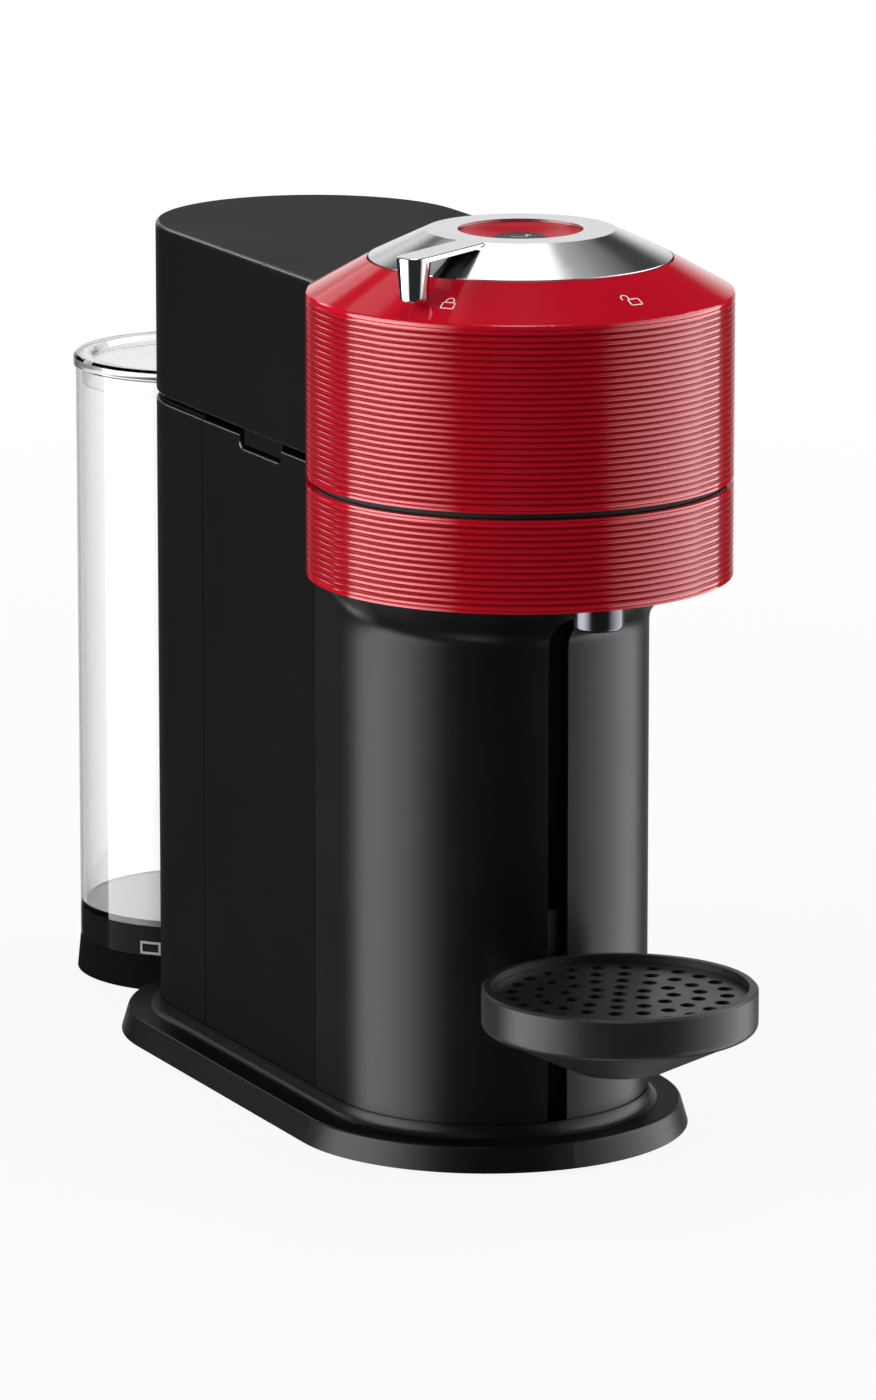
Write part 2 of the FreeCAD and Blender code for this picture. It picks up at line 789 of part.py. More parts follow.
def make_covers():
    """Red covers: the ribbed sleeve below the split and the ribbed cap with its cone above it."""
    outer = S.head_radius
    inner = outer - S.cover_wall
    valley = outer - S.rib_depth
    low_band = S.chamber_height + S.rim_band / 2
    high_band = S.sleeve_top - S.rim_band / 2
    sleeve = turned("sleeve_tube", HEAD_Y, [
        (inner, S.chamber_height), (outer, S.chamber_height), (outer, low_band), (valley, low_band),
        (valley, high_band), (outer, high_band), (outer, S.sleeve_top), (inner, S.sleeve_top)])
    ribs(sleeve, outer, low_band, high_band)
    back = box("sleeve_back", (-S.body_half - S.fit_gap, COLUMN_Y, S.chamber_height - BEYOND),
               (S.body_half + S.fit_gap, HEAD_Y + outer + BEYOND, S.sleeve_top + BEYOND))
    node("chamber_sleeve", cut("sleeve_open", sleeve, back))

    flange = S.cone_radius - S.cover_wall * 3
    shelf = CONE_TOP - S.cover_wall * 2
    low_band = CAP_BOTTOM + S.rim_band / 2
    high_band = S.hood_top - S.rim_band
    cap = turned("cap_tube", HEAD_Y, [
        (inner, CAP_BOTTOM), (outer, CAP_BOTTOM), (outer, low_band), (valley, low_band),
        (valley, high_band), (outer, high_band), (outer, S.hood_top), (S.cone_radius, CONE_TOP),
        (S.cone_radius - S.fit_gap, CONE_TOP - S.fit_gap), (S.cone_radius - S.fit_gap, shelf),
        (flange, shelf), (flange, shelf - S.cover_wall), (S.cone_radius - S.fit_gap, shelf - S.cover_wall),
        (inner, S.hood_top - S.cover_wall)])
    fillet(cap, S.rim_edge, flat_at(S.hood_top))
    ribs(cap, outer, low_band, high_band)
    way = box("cap_back", (-INNER_HALF, COLUMN_Y, CAP_BOTTOM - BEYOND),
              (INNER_HALF, HEAD_Y + outer + BEYOND, FRAME_HIGH + S.hose_height + BEYOND * 2))
    node("head_cap", cut("cap_open", cap, way))


def make_hood():
    """Hood behind the head, with a lug over each side panel's notch."""
    body = raised("hood_block", stadium(COLUMN_Y, REAR_Y, S.body_half), HOOD_BOTTOM, S.hood_top)
    fillet(body, S.hood_edge, flat_at(S.hood_top))
    fillet(body, S.split_edge, flat_at(HOOD_BOTTOM))
    hollow = sketch(body, "XY_Plane", S.hood_top - S.shell_wall)
    outline(hollow, stadium(COLUMN_Y, REAR_Y, INNER_HALF))
    pocket(body, hollow, S.hood_top)
    lugs = []
    start = FRONT_SEAM + S.notch_start + S.lug_margin
    for side in (-1, 1):
        half = (S.shell_wall - S.lug_recess) / 2
        middle = side * (INNER_HALF + half)
        lugs.append(box("lug", (middle - half, start, S.split_height - S.notch_depth + S.lug_margin),
                        (middle + half, start + S.notch_length - S.lug_margin * 2, HOOD_BOTTOM + BEYOND)))
    head = cylinder("hood_front", S.head_radius + S.fit_gap, ZERO, HEAD_Y, S.split_height - BEYOND,
                    S.hood_top + BEYOND)
    front = box("hood_nose", (-S.head_radius, HEAD_Y - S.head_radius, S.split_height),
                (S.head_radius, HEAD_Y, S.hood_top + BEYOND))
    hinge = box("hood_hinge", (-HINGE_HALF, HINGE_Y - HINGE_CLEAR, S.split_height),
                (HINGE_HALF, REAR_FACE + BEYOND, HINGE_Z + HINGE_CLEAR))
    node("hood", cut("hood_open", fuse("hood_lugs", body, *lugs), head, front, hinge))


def make_lid_frame():
    """Frame of the lid, with the middle knuckle of the hinge."""
    reach = CHAMBER_RADIUS
    tail = raised("frame_tail", rounded_back(HEAD_Y, INNER_HALF - S.fit_gap), FRAME_LOW, FRAME_HIGH)
    disc = cylinder("frame_disc", reach, ZERO, HEAD_Y, FRAME_LOW, FRAME_HIGH)
    hole = cylinder("frame_hole", S.frame_hole, ZERO, HEAD_Y, FRAME_LOW - BEYOND, FRAME_HIGH + BEYOND)
    clear = box("frame_hinge", (-HINGE_HALF, HINGE_Y - HINGE_CLEAR, FRAME_LOW - BEYOND),
                (HINGE_HALF, REAR_FACE + BEYOND, FRAME_HIGH + BEYOND))
    head_part = DOC.addObject("Part::MultiCommon", "frame_front")
    band = box("frame_band", (-S.head_radius, HEAD_Y - S.head_radius, FRAME_LOW),
               (S.head_radius, FRONT_SEAM - S.seam_gap, FRAME_HIGH))
    head_part.Shapes = [disc, band]
    plate = cut("frame_plate", fuse("frame_sheet", tail, head_part), hole, clear)
    web_half = S.knuckle_width / 2
    web = box("frame_web", (-web_half, HINGE_Y - HINGE_CLEAR - BEYOND, FRAME_LOW),
              (web_half, HINGE_Y, HINGE_Z))
    knuckle = cross_cylinder("frame_knuckle", S.knuckle_radius, S.knuckle_width, HINGE_Y, HINGE_Z)
    bore = cross_cylinder("frame_bore", S.pin_radius + S.running_gap, S.knuckle_width * 2, HINGE_Y, HINGE_Z)
    node("lid_frame", cut("frame_bored", fuse("frame_hinged", plate, web, knuckle), bore))

    low = S.sleeve_top + S.fit_gap
    node("chamber_seal", turned("seal_ring", HEAD_Y, [
        (CHAMBER_RADIUS - S.seal_width, low), (CHAMBER_RADIUS - S.fit_gap, low),
        (CHAMBER_RADIUS - S.fit_gap, FRAME_LOW), (CHAMBER_RADIUS - S.seal_width, FRAME_LOW)]))


def make_brew_head():
    """Brew head in the lid with its post, the spinning brew plate, needles and the water hose."""
    top = FRAME_HIGH + S.brew_head_height
    bore = S.stub_radius + S.running_gap
    radius = S.brew_head_radius
    plate_low = HOLDER_TOP + 0.7
    plate_high = plate_low + S.plate_width
    stub_top = plate_high + S.stub_length
    flange = S.frame_hole + S.seal_width
    lip = FRAME_HIGH + S.frame_thickness
    node("brew_head", turned("brew_housing", HEAD_Y, [
        (bore, FRAME_HIGH), (flange, FRAME_HIGH), (flange, lip), (radius, lip), (radius, top - S.post_wall),
        (S.post_radius, top), (S.post_radius, DISH_LOW), (S.post_radius - S.post_wall, DISH_LOW),
        (S.post_radius - S.post_wall, stub_top + S.post_wall), (0, stub_top + S.post_wall),
        (0, stub_top + S.fit_gap), (bore, stub_top + S.fit_gap)]))
    node("brew_plate", turned("brew_disc", HEAD_Y, [
        (0, plate_low), (S.plate_radius, plate_low), (S.plate_radius, plate_high),
        (S.stub_radius, plate_high), (S.stub_radius, stub_top), (0, stub_top)]))
    needles = []
    for index in range(int(S.needle_count.value)):
        angle = sized(360 * index) / S.needle_count
        needle = DOC.addObject("Part::Cone", "needle")
        bind(needle, Radius1=S.needle_radius / 4, Radius2=S.needle_radius, Height=S.needle_length)
        needles.append(place(needle, S.needle_row * cosine(angle), HEAD_Y + S.needle_row * sine(angle),
                             plate_low - S.needle_length))
    node("piercing_needles", group("needle_row", *needles))
    node("water_needle", turned("needle_tube", HEAD_Y, [
        (0, plate_low - S.needle_length), (S.needle_radius, plate_low - S.needle_length),
        (S.needle_radius * 2, plate_low), (0, plate_low)]))

    hose_z = FRAME_HIGH + S.hose_height
    start = HEAD_Y + radius + S.running_gap
    hose = new_body("hose_tube")
    section = sketch(hose, "XZ_Plane", -start)
    ring(section, S.hose_radius, ZERO, hose_z)
    line = sketch(hose, "YZ_Plane")
    path(line, [(start, hose_z), (REAR_Y - S.hose_bend, hose_z, -S.hose_bend),
                (REAR_Y, hose_z - S.hose_bend), (REAR_Y, FRAME_HIGH)])
    sweep = hose.newObject("PartDesign::AdditivePipe", "hose_sweep")
    sweep.Profile = section
    sweep.Spine = (line, ["Edge1", "Edge2", "Edge3"])
    node("lid_hose", hose)


def make_lever():
    """Lever ring with its arm and peg, the hub below it, the dish and the start button."""
    outer = S.cone_radius - S.fit_gap - S.lever_gap
    low = CONE_TOP + S.lever_gap
    top = LEVER_TOP
    wall = S.lever_wall
    skin = turned("ring_skin", HEAD_Y, [
        (S.lever_hole, top - wall * 2), (S.lever_hole + wall, top - wall * 2),
        (S.lever_hole + wall, top - wall),
        (S.lever_flat - wall / 2, top - wall), (outer - wall * 1.5, low - wall / 2), (outer, low - wall / 2),
        (outer, low), (S.lever_flat, top), (S.lever_hole, top)])
    half = S.arm_half
    arm_low = top - S.arm_wall
    root_x = S.lever_hole + wall * 1.6
    bend = S.arm_corner
    corner_x = leg(S.lever_flat + bend, half + bend)
    share = S.lever_flat / (S.lever_flat + bend)
    arm = raised("arm", [
        (root_x, half), (S.peg_reach, half, -half), (S.peg_reach + half, 0, -half), (S.peg_reach, -half),
        (corner_x, -half, bend), (corner_x * share, -((half + bend) * share)), (root_x, -half)], arm_low, top)

    def arm_rim(edge):
        return flat_at(top)(edge) and edge.BoundBox.XMax > S.lever_flat.value

    fillet(arm, S.arm_edge, arm_rim)
    peg_low = top - S.peg_height
    foot = half - S.peg_taper
    peg = turned("peg", ZERO, [
        (0, peg_low), (foot - S.peg_edge, peg_low, S.peg_edge), (foot, peg_low + S.peg_edge), (half, arm_low),
        (0, arm_low)])
    place(peg, x=S.peg_reach)
    beside = box("beside_arm", (S.lever_flat, half, low - BEYOND),
                 (outer + BEYOND, half + S.arm_cutout, top + BEYOND))
    under = box("under_arm", (S.lever_flat, -half / 2, low - BEYOND), (outer + BEYOND, half, arm_low))
    cutter = at_lever(fuse("arm_cutter", beside, under))
    grip = at_lever(fuse("arm_grip", arm, peg))
    node("lever_ring", fuse("lever_whole", cut("ring_notched", skin, cutter), grip))

    gap = S.fit_gap
    shelf = CONE_TOP - S.cover_wall * 2 + gap
    flange = S.cone_radius - S.cover_wall * 3 - gap
    node("lever_hub", turned("hub", HEAD_Y, [
        (S.lever_hole + wall + gap, shelf), (flange - wall * 2, shelf),
        (flange - wall * 2, shelf - S.hub_skirt),
        (flange, shelf - S.hub_skirt), (flange, shelf), (outer - wall, shelf),
        (outer - wall * 1.6, low - wall),
        (S.lever_flat - wall, top - wall - gap), (S.lever_hole + wall + gap, top - wall - gap)]))

    bowl = S.lever_hole - gap
    hole = S.button_radius + S.button_gap
    floor = DISH_TOP - S.dish_depth
    sag = S.dish_depth
    span = bowl - hole
    bend = (span * span + sag * sag) / (sag * 2)
    node("button_dish", turned("dish", HEAD_Y, [
        (hole, DISH_LOW), (bowl, DISH_LOW), (bowl, DISH_TOP, -bend), (hole, floor)]))
    button_top = floor + 0.6
    button_low = button_top - S.button_height
    node("start_button", turned("button", HEAD_Y, [
        (0, button_low), (S.button_radius, button_low), (S.button_radius, button_top - 0.6),
        (S.button_radius - 0.6, button_top), (0, button_top)]))
    board_high = button_low - 4
    card = cylinder("button_card", S.post_radius - S.post_wall - gap, ZERO, HEAD_Y,
                    board_high - S.board_thickness, board_high)
    switch = cylinder("button_switch", S.button_radius / 3, ZERO, HEAD_Y, board_high, button_low - 1.8 - gap)
    node("button_board", fuse("button_switchboard", card, switch))


def at_lever(piece):
    """Turn a piece drawn along +X to the lever's rest angle, about the head's axis."""
    turn(piece, (0, 0, 1), S.lever_angle)
    return place(piece, y=HEAD_Y)


def make_chamber():
    """Brewing chamber in the lower head, with the spout and the bearing carrier."""
    wall = S.chamber_wall
    low = S.chamber_height
    top = S.sleeve_top
    weir = low + S.weir_height
    housing = turned("chamber_bowl", HEAD_Y, [
        (S.carrier_hole, low), (CHAMBER_RADIUS, low), (CHAMBER_RADIUS, top), (CHAMBER_RADIUS - wall, top),
        (CHAMBER_RADIUS - wall, FLOOR_TOP), (S.weir_radius, FLOOR_TOP), (S.weir_radius, weir),
        (S.weir_radius - wall, weir), (S.weir_radius - wall, FLOOR_TOP), (S.carrier_hole, FLOOR_TOP)])
    drain = cylinder("drain", S.spout_spigot + S.running_gap, ZERO, SPOUT_Y,
                     low - BEYOND, FLOOR_TOP + BEYOND)
    node("chamber_housing", cut("chamber_drained", housing, drain))

    spout_low = low - S.spout_drop
    lip = S.spout_radius - S.spout_bore
    node("spout", turned("spout_tube", SPOUT_Y, [
        (S.spout_bore, spout_low), (S.spout_radius - lip / 2, spout_low, lip / 2),
        (S.spout_radius, spout_low + lip / 2),
        (S.spout_radius, low), (S.spout_spigot, low), (S.spout_spigot, FLOOR_TOP + 1),
        (S.spout_bore, FLOOR_TOP + 1)]))

    tube = S.bearing_radius + S.carrier_wall
    neck = HOLDER_FOOT - 4
    lip_high = FLOOR_TOP + S.chamber_floor
    throat = S.carrier_hole - S.fit_gap
    node("bearing_carrier", turned("carrier", HEAD_Y, [
        (S.bearing_radius, TUBE_LOW), (tube, TUBE_LOW), (tube, neck), (throat, FLOOR_TOP),
        (S.carrier_flange, FLOOR_TOP), (S.carrier_flange, lip_high), (throat - S.carrier_wall / 2, lip_high),
        (S.bearing_radius, neck + S.carrier_wall)]))
    rings = []
    for low_end in (TUBE_LOW + 1, neck - S.bearing_width - 1):
        high_end = low_end + S.bearing_width
        race = cylinder("race", S.bearing_radius - S.running_gap, ZERO, HEAD_Y, low_end, high_end)
        bore = S.spindle_radius + S.running_gap
        core = cylinder("race_bore", bore, ZERO, HEAD_Y, low_end - 1, high_end + 1)
        rings.append(cut("bearing", race, core))
    node("spindle_bearings", group("bearing_pair", *rings))


def make_spinner():
    """Capsule holder on its spindle, the pulley, and the motor's shaft and pulley."""
    rim_low = HOLDER_TOP - 2
    bend = S.holder_bend
    foot = S.holder_floor + S.holder_wall
    node("capsule_holder", turned("holder_bowl", HEAD_Y, [
        (0, HOLDER_FOOT), (foot, HOLDER_FOOT, bend), (S.holder_mouth + S.holder_wall, rim_low),
        (S.holder_rim, rim_low), (S.holder_rim, HOLDER_TOP),
        (S.holder_mouth, HOLDER_TOP, -bend), (S.holder_floor, HOLDER_FOOT + S.holder_wall),
        (0, HOLDER_FOOT + S.holder_wall)]))
    collar = S.spindle_radius * 2
    collar_low = HOLDER_FOOT - 2.5
    node("spindle", turned("spindle_bar", HEAD_Y, [
        (0, PULLEY_LOW - 1), (S.spindle_radius, PULLEY_LOW - 1), (S.spindle_radius, collar_low),
        (collar, collar_low), (collar, HOLDER_FOOT), (0, HOLDER_FOOT)]))
    node("spindle_pulley", pulley("big_pulley", S.pulley_radius, S.spindle_radius, HEAD_Y))
    node("motor_pulley", pulley("small_pulley", S.motor_pulley_radius, S.motor_shaft, MOTOR_Y))
    shaft = cylinder("shaft", S.motor_shaft, ZERO, MOTOR_Y, BRACKET_LOW - BEYOND, PULLEY_HIGH + 1)
    node("motor_shaft", shaft)

    mean = (PULLEY_HIGH + PULLEY_LOW) / 2
    body = new_body("belt_loop")
    drawing = sketch(body, "XY_Plane", mean - S.belt_width / 2)
    for extra in (S.fit_gap + S.belt_thickness, S.fit_gap):
        outline(drawing, belt_line(S.pulley_radius + extra, S.motor_pulley_radius + extra))
    pad(body, drawing, S.belt_width)
    node("drive_belt", body)


def pulley(name, radius, bore, y):
    """Pulley with a lip at each end."""
    lip = (S.pulley_width - S.belt_width) / 2 - S.fit_gap
    edge = radius + S.pulley_lip
    inner = bore + S.running_gap
    return turned(name, y, [
        (inner, PULLEY_LOW), (edge, PULLEY_LOW), (edge, PULLEY_LOW + lip), (radius, PULLEY_LOW + lip),
        (radius, PULLEY_HIGH - lip), (edge, PULLEY_HIGH - lip), (edge, PULLEY_HIGH), (inner, PULLEY_HIGH)])


def belt_line(front, back):
    """Closed line round both pulleys, straight between them."""
    lean = (front - back) / S.motor_offset
    spread = root(1 - lean * lean)
    return [(front * spread, HEAD_Y + front * lean), (back * spread, MOTOR_Y + back * lean, back),
            (0, MOTOR_Y + back, back), (-(back * spread), MOTOR_Y + back * lean),
            (-(front * spread), HEAD_Y + front * lean, front), (0, HEAD_Y - front, front)]


def make_drive():
    """Motor under its bracket, which spans the body."""
    half = INNER_HALF - S.fit_gap
    near = MOTOR_Y - S.motor_radius - BEYOND * 2
    far = MOTOR_Y + S.motor_radius + BEYOND / 2
    sheet = box("bracket_sheet", (-half, near, BRACKET_LOW), (half, far, BRACKET_HIGH))
    hole = cylinder("bracket_hole", S.motor_shaft * 2, ZERO, MOTOR_Y, BRACKET_LOW - BEYOND,
                    BRACKET_HIGH + BEYOND)
    node("motor_bracket", cut("bracket_bored", sheet, hole))
    can = cylinder("motor_can", S.motor_radius, ZERO, MOTOR_Y, BRACKET_LOW - S.motor_length, BRACKET_LOW)
    tail = cylinder("motor_tail", S.motor_radius / 2, ZERO, MOTOR_Y, BRACKET_LOW - S.motor_length - BEYOND,
                    BRACKET_LOW - S.motor_length)
    well = cylinder("motor_well", S.motor_shaft + S.running_gap, ZERO, MOTOR_Y, BRACKET_LOW - BEYOND - 1,
                    BRACKET_LOW + BEYOND)
    node("drive_motor", cut("motor_bored", fuse("motor_whole", can, tail), well))


def make_support():
    """Cup support with its drip tray and arm, carriage, channel and perforated grid."""
    radius = S.support_radius
    top = S.support_top
    low = top - S.support_depth
    wall = S.support_wall
    seat = top - S.grid_recess - S.grid_thickness
    tray = S.tray_radius
    bottom = low - S.tray_depth
    bowl = turned("tray_bowl", SUPPORT_Y, [
        (0, bottom), (tray, bottom), (radius - wall, low, wall), (radius, low + wall), (radius, top - 0.8),
        (radius - 0.8, top), (radius - wall, top), (radius - wall, seat), (radius - wall * 2, seat),
        (radius - wall * 2, low + wall), (tray, bottom + wall * 0.8), (0, bottom + wall * 0.8)])
    carriage_front = COLUMN_Y - leg(INNER_HALF, S.carriage_width / 2) + S.fit_gap * 1.2
    arm = box("support_arm", (-S.arm_width / 2, SUPPORT_Y + radius - wall / 2, low + 1),
              (S.arm_width / 2, carriage_front, low + 1 + S.arm_height))
    node("cup_support", fuse("support_whole", bowl, arm))
    half = S.carriage_width / 2
    carriage_low = low + 1 - S.carriage_drop
    carriage_back = carriage_front + S.carriage_depth
    node("support_carriage", box("carriage", (-half, carriage_front, carriage_low),
                                 (half, carriage_back, carriage_low + S.carriage_height)))
    inner = half + S.fit_gap
    outer = inner + S.channel_wall
    channel_front = COLUMN_Y - leg(INNER_HALF, outer) + S.fit_gap
    back = carriage_back + S.fit_gap
    node("slide_channel", raised("channel", [
        (inner, channel_front), (outer, channel_front), (outer, back + S.channel_wall),
        (-outer, back + S.channel_wall), (-outer, channel_front), (-inner, channel_front), (-inner, back),
        (inner, back)], S.base_height, HOLDER_FOOT - BEYOND))

    edge = radius - wall - S.fit_gap
    disc = cylinder("grid_disc", edge, ZERO, SUPPORT_Y, seat, seat + S.grid_thickness)
    holes = [cylinder("grid_centre", S.grid_hole, ZERO, SUPPORT_Y, seat - 1, seat + S.grid_thickness + 1)]
    for row in range(1, int(S.grid_rows.value) + 1):
        reach = S.grid_row_step * row
        count = 6 * row
        for index in range(count):
            angle = sized(360 * index / count)
            holes.append(cylinder("grid_way", S.grid_hole, reach * cosine(angle),
                                  SUPPORT_Y + reach * sine(angle), seat - 1, seat + S.grid_thickness + 1))
    node("drip_grid", cut("grid_pierced", disc, group("grid_holes", *holes)))


def make_inside():
    """Chassis, capsule bin and the water system in the body."""
    half = INNER_HALF - S.fit_gap
    low = S.base_height
    deck = raised("chassis_deck", rounded_back(S.bin_front - S.chassis_wall, half),
                  S.deck_height - S.chassis_wall, S.deck_height)
    sides = []
    for side in (-1, 1):
        middle = side * (CHASSIS_HALF - S.chassis_wall / 2)
        sides.append(box("chassis_side", (middle - S.chassis_wall / 2, S.bin_front - S.chassis_wall, low),
                         (middle + S.chassis_wall / 2, REAR_Y + S.chassis_wall * 5, S.deck_height)))
    front = box("chassis_front", (-CHASSIS_HALF, S.bin_front - S.chassis_wall, low),
                (CHASSIS_HALF, S.bin_front, S.deck_height))
    node("chassis", fuse("chassis_frame", deck, front, *sides))

    bin_half = INNER_HALF - S.bin_gap
    bin_top = S.split_height - S.bin_drop
    bucket = raised("bin_block", rounded_back(S.bin_front, bin_half), S.deck_height, bin_top)
    hollow = sketch(bucket, "XY_Plane", bin_top)
    inner = bin_half - S.bin_wall
    outline(hollow, rounded_back(S.bin_front + S.bin_wall, inner))
    pocket(bucket, hollow, bin_top - S.deck_height - S.bin_wall)
    node("capsule_bin", bucket)

    heater_y = S.bin_front + S.heater_radius + S.chassis_wall
    drum = cylinder("heater_drum", S.heater_radius - 3, ZERO, heater_y, low, low + S.heater_height)
    bands = [cylinder("heater_band", S.heater_radius, ZERO, heater_y, low + S.heater_height * share,
                      low + S.heater_height * (share + 0.1)) for share in (0.1, 0.45, 0.8)]
    stub = cylinder("heater_stub", S.hose_radius, ZERO, heater_y, low + S.heater_height,
                    low + S.heater_height + BEYOND)
    node("heater", fuse("heater_block", drum, stub, *bands))

    pump_y = heater_y + S.heater_radius + S.chassis_wall
    pump_low = low + S.pump_rise
    coil = box("pump_coil", (-S.pump_half, pump_y, pump_low),
               (S.pump_half, pump_y + S.pump_length, pump_low + S.pump_half * 2))
    barrel = DOC.addObject("Part::Cylinder", "pump_barrel")
    bind(barrel, Radius=S.pump_half * 0.6, Height=S.pump_length + BEYOND * 2)
    turn(barrel, (1, 0, 0), -90)
    place(barrel, ZERO, pump_y, pump_low + S.pump_half)
    node("pump", fuse("pump_whole", coil, barrel))
    mounts = []
    for start in (pump_y, pump_y + S.pump_length - 6):
        mounts.append(box("pump_mount", (-S.pump_half, start, low), (S.pump_half, start + 6, pump_low)))
    node("pump_mounts", group("pump_pads", *mounts))

    flow_y = pump_y + S.pump_length + BEYOND * 2 + S.flow_radius + 1
    drum = cylinder("flow_drum", S.flow_radius, ZERO, flow_y, low, low + S.flow_height)
    inlet = cylinder("flow_inlet", S.hose_radius, ZERO, flow_y, low + S.flow_height,
                     low + S.flow_height + BEYOND * 2)
    node("flow_meter", fuse("flow_whole", drum, inlet))

    wall_face = CHASSIS_HALF - S.chassis_wall
    card_face = wall_face - S.board_thickness
    card_front = S.bin_front + BEYOND
    card_low = low + S.flow_height
    card = box("card", (card_face, card_front, card_low), (wall_face, REAR_Y, S.deck_height - BEYOND * 2))
    chips = []
    for step in (2, 7, 12):
        start = card_front + BEYOND * step
        chips.append(box("chip", (card_face - S.foot_radius, start, card_low + BEYOND * 2),
                         (card_face, start + BEYOND * 3, card_low + BEYOND * 6)))
    node("control_board", fuse("control_card", card, *chips))


def make_tank():
    """Water tank on its holder, with the lid and the valve."""
    wall = S.tank_wall
    outer = S.tank_radius
    inner = outer - wall
    plinth = inner - S.fit_gap * 2
    shoulder = S.tank_foot - S.fit_gap
    node("tank_holder", turned("holder_drum", TANK_Y, [
        (0, S.foot_height), (HOLDER_RADIUS, S.foot_height), (outer, shoulder), (plinth, shoulder),
        (plinth, S.tank_floor - S.fit_gap), (0, S.tank_floor - S.fit_gap)]))
    floor_top = S.tank_floor + wall
    hole = S.valve_radius + S.fit_gap
    vessel = turned("tank_wall", TANK_Y, [
        (inner, S.tank_foot), (outer, S.tank_foot), (outer, S.tank_top), (inner, S.tank_top),
        (inner, floor_top), (hole, floor_top), (hole, S.tank_floor), (inner, S.tank_floor)])
    line = S.latch_line
    latch_half = S.latch_width / 2
    latch_low = S.tank_foot + line
    latch_high = latch_low + S.latch_height
    proud = outer + S.latch_proud
    band = turned("latch_band", ZERO, [
        (outer - wall / 2, latch_low), (proud, latch_low), (proud, latch_high),
        (outer - wall / 2, latch_high)])
    block = box("latch_block", (inner - BEYOND, -latch_half, latch_low),
                (proud + BEYOND, latch_half, latch_high))
    window = box("latch_window", (outer, line - latch_half, latch_low + line),
                 (proud + BEYOND, latch_half - line, latch_high - line))
    latch = DOC.addObject("Part::MultiCommon", "latch_frame")
    latch.Shapes = [band, cut("latch_open", block, window)]
    turn(latch, (0, 0, 1), S.latch_angle)
    place(latch, y=TANK_Y)
    node("tank", fuse("tank_latched", vessel, latch))
    gasket_top = floor_top + 1.2
    node("valve_gasket", turned("gasket", TANK_Y, [
        (S.valve_radius + S.fit_gap, floor_top), (S.valve_flange, floor_top), (S.valve_flange, gasket_top),
        (S.valve_radius + S.fit_gap, gasket_top)]))
    node("tank_valve", turned("valve", TANK_Y, [
        (0, S.tank_floor + S.fit_gap), (S.valve_radius, S.tank_floor + S.fit_gap),
        (S.valve_radius, gasket_top), (S.valve_flange, gasket_top), (S.valve_flange, gasket_top + wall),
        (S.valve_radius, gasket_top + wall), (S.valve_radius / 2, gasket_top + wall * 3),
        (0, gasket_top + wall * 3)]))
    rim = outer + S.tank_overhang
    low = S.tank_top + S.fit_gap
    plug = inner - S.fit_gap
    deck = S.tank_lid_top - wall
    node("tank_lid", turned("lid_disc", TANK_Y, [
        (0, deck - wall), (plug - wall, deck - wall), (plug - wall, low - S.lid_plug),
        (plug, low - S.lid_plug), (plug, low), (rim, low), (rim, S.tank_lid_top - wall / 2),
        (rim - wall / 2, S.tank_lid_top),
        (S.lid_recess + wall / 2, S.tank_lid_top), (S.lid_recess, deck), (0, deck)]))


def main():
    """Build every sub-part, test it and write it out."""
    make_base()
    make_column()
    make_panels()
    make_gland()
    make_covers()
    make_hood()
    make_lid_frame()
    make_brew_head()
    make_lever()
    make_chamber()
    make_spinner()
    make_drive()
    make_support()
    make_inside()
    make_tank()
    DOC.recompute()
    for piece in DOC.Objects:
        if "Invalid" in piece.State or "Error" in piece.State:
            raise RuntimeError("%s (%s) failed: %s" % (piece.Name, piece.Label, piece.State))
    for piece in NODES:
        if piece.Shape.isNull() or not piece.Shape.isValid() or not piece.Shape.Solids:
            raise RuntimeError("%s has no sound solid" % piece.Label)
    os.makedirs("parts", exist_ok=True)
    for piece in NODES:
        piece.Shape.exportStep(os.path.join("parts", piece.Label + ".step"))


main()
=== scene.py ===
"""Studio picture of a pod coffee machine: its finishes, printed signs, light and camera.

Lengths are in metres unless a name ends in _mm, and angles are in degrees. +Z is up and the front
faces -Y.
"""
from __future__ import annotations

import logging
import math
from dataclasses import dataclass, field
from enum import Enum
from typing import Any, Callable, Iterable, Sequence

import bpy
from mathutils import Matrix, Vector


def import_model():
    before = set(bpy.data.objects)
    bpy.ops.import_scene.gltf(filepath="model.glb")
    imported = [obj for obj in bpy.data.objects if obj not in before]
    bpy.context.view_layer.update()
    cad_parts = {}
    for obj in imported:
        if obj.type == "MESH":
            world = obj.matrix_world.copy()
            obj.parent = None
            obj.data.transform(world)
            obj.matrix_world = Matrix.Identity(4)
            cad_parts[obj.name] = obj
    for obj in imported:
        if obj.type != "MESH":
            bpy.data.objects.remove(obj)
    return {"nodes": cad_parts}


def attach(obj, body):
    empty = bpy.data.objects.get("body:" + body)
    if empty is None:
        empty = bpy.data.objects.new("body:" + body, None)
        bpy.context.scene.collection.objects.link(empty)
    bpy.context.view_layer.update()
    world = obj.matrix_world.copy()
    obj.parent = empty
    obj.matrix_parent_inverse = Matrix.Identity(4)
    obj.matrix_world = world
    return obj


LOG = logging.getLogger("coffee_machine")
MM = 0.001
HEAD_Y_MM = -94.55
WHITE = "#ffffff"

# The Mix node has one set of sockets for each kind of data, and these are its colour sockets.
MIX_SHARE, MIX_FIRST, MIX_SECOND, MIX_RESULT = 0, 6, 7, 2

Nodes = dict[str, bpy.types.Object]
Point2 = tuple[float, float]
Point3 = tuple[float, float, float]
Surface = Callable[[float, float], Vector]
FaceTest = Callable[[bpy.types.MeshPolygon], bool]


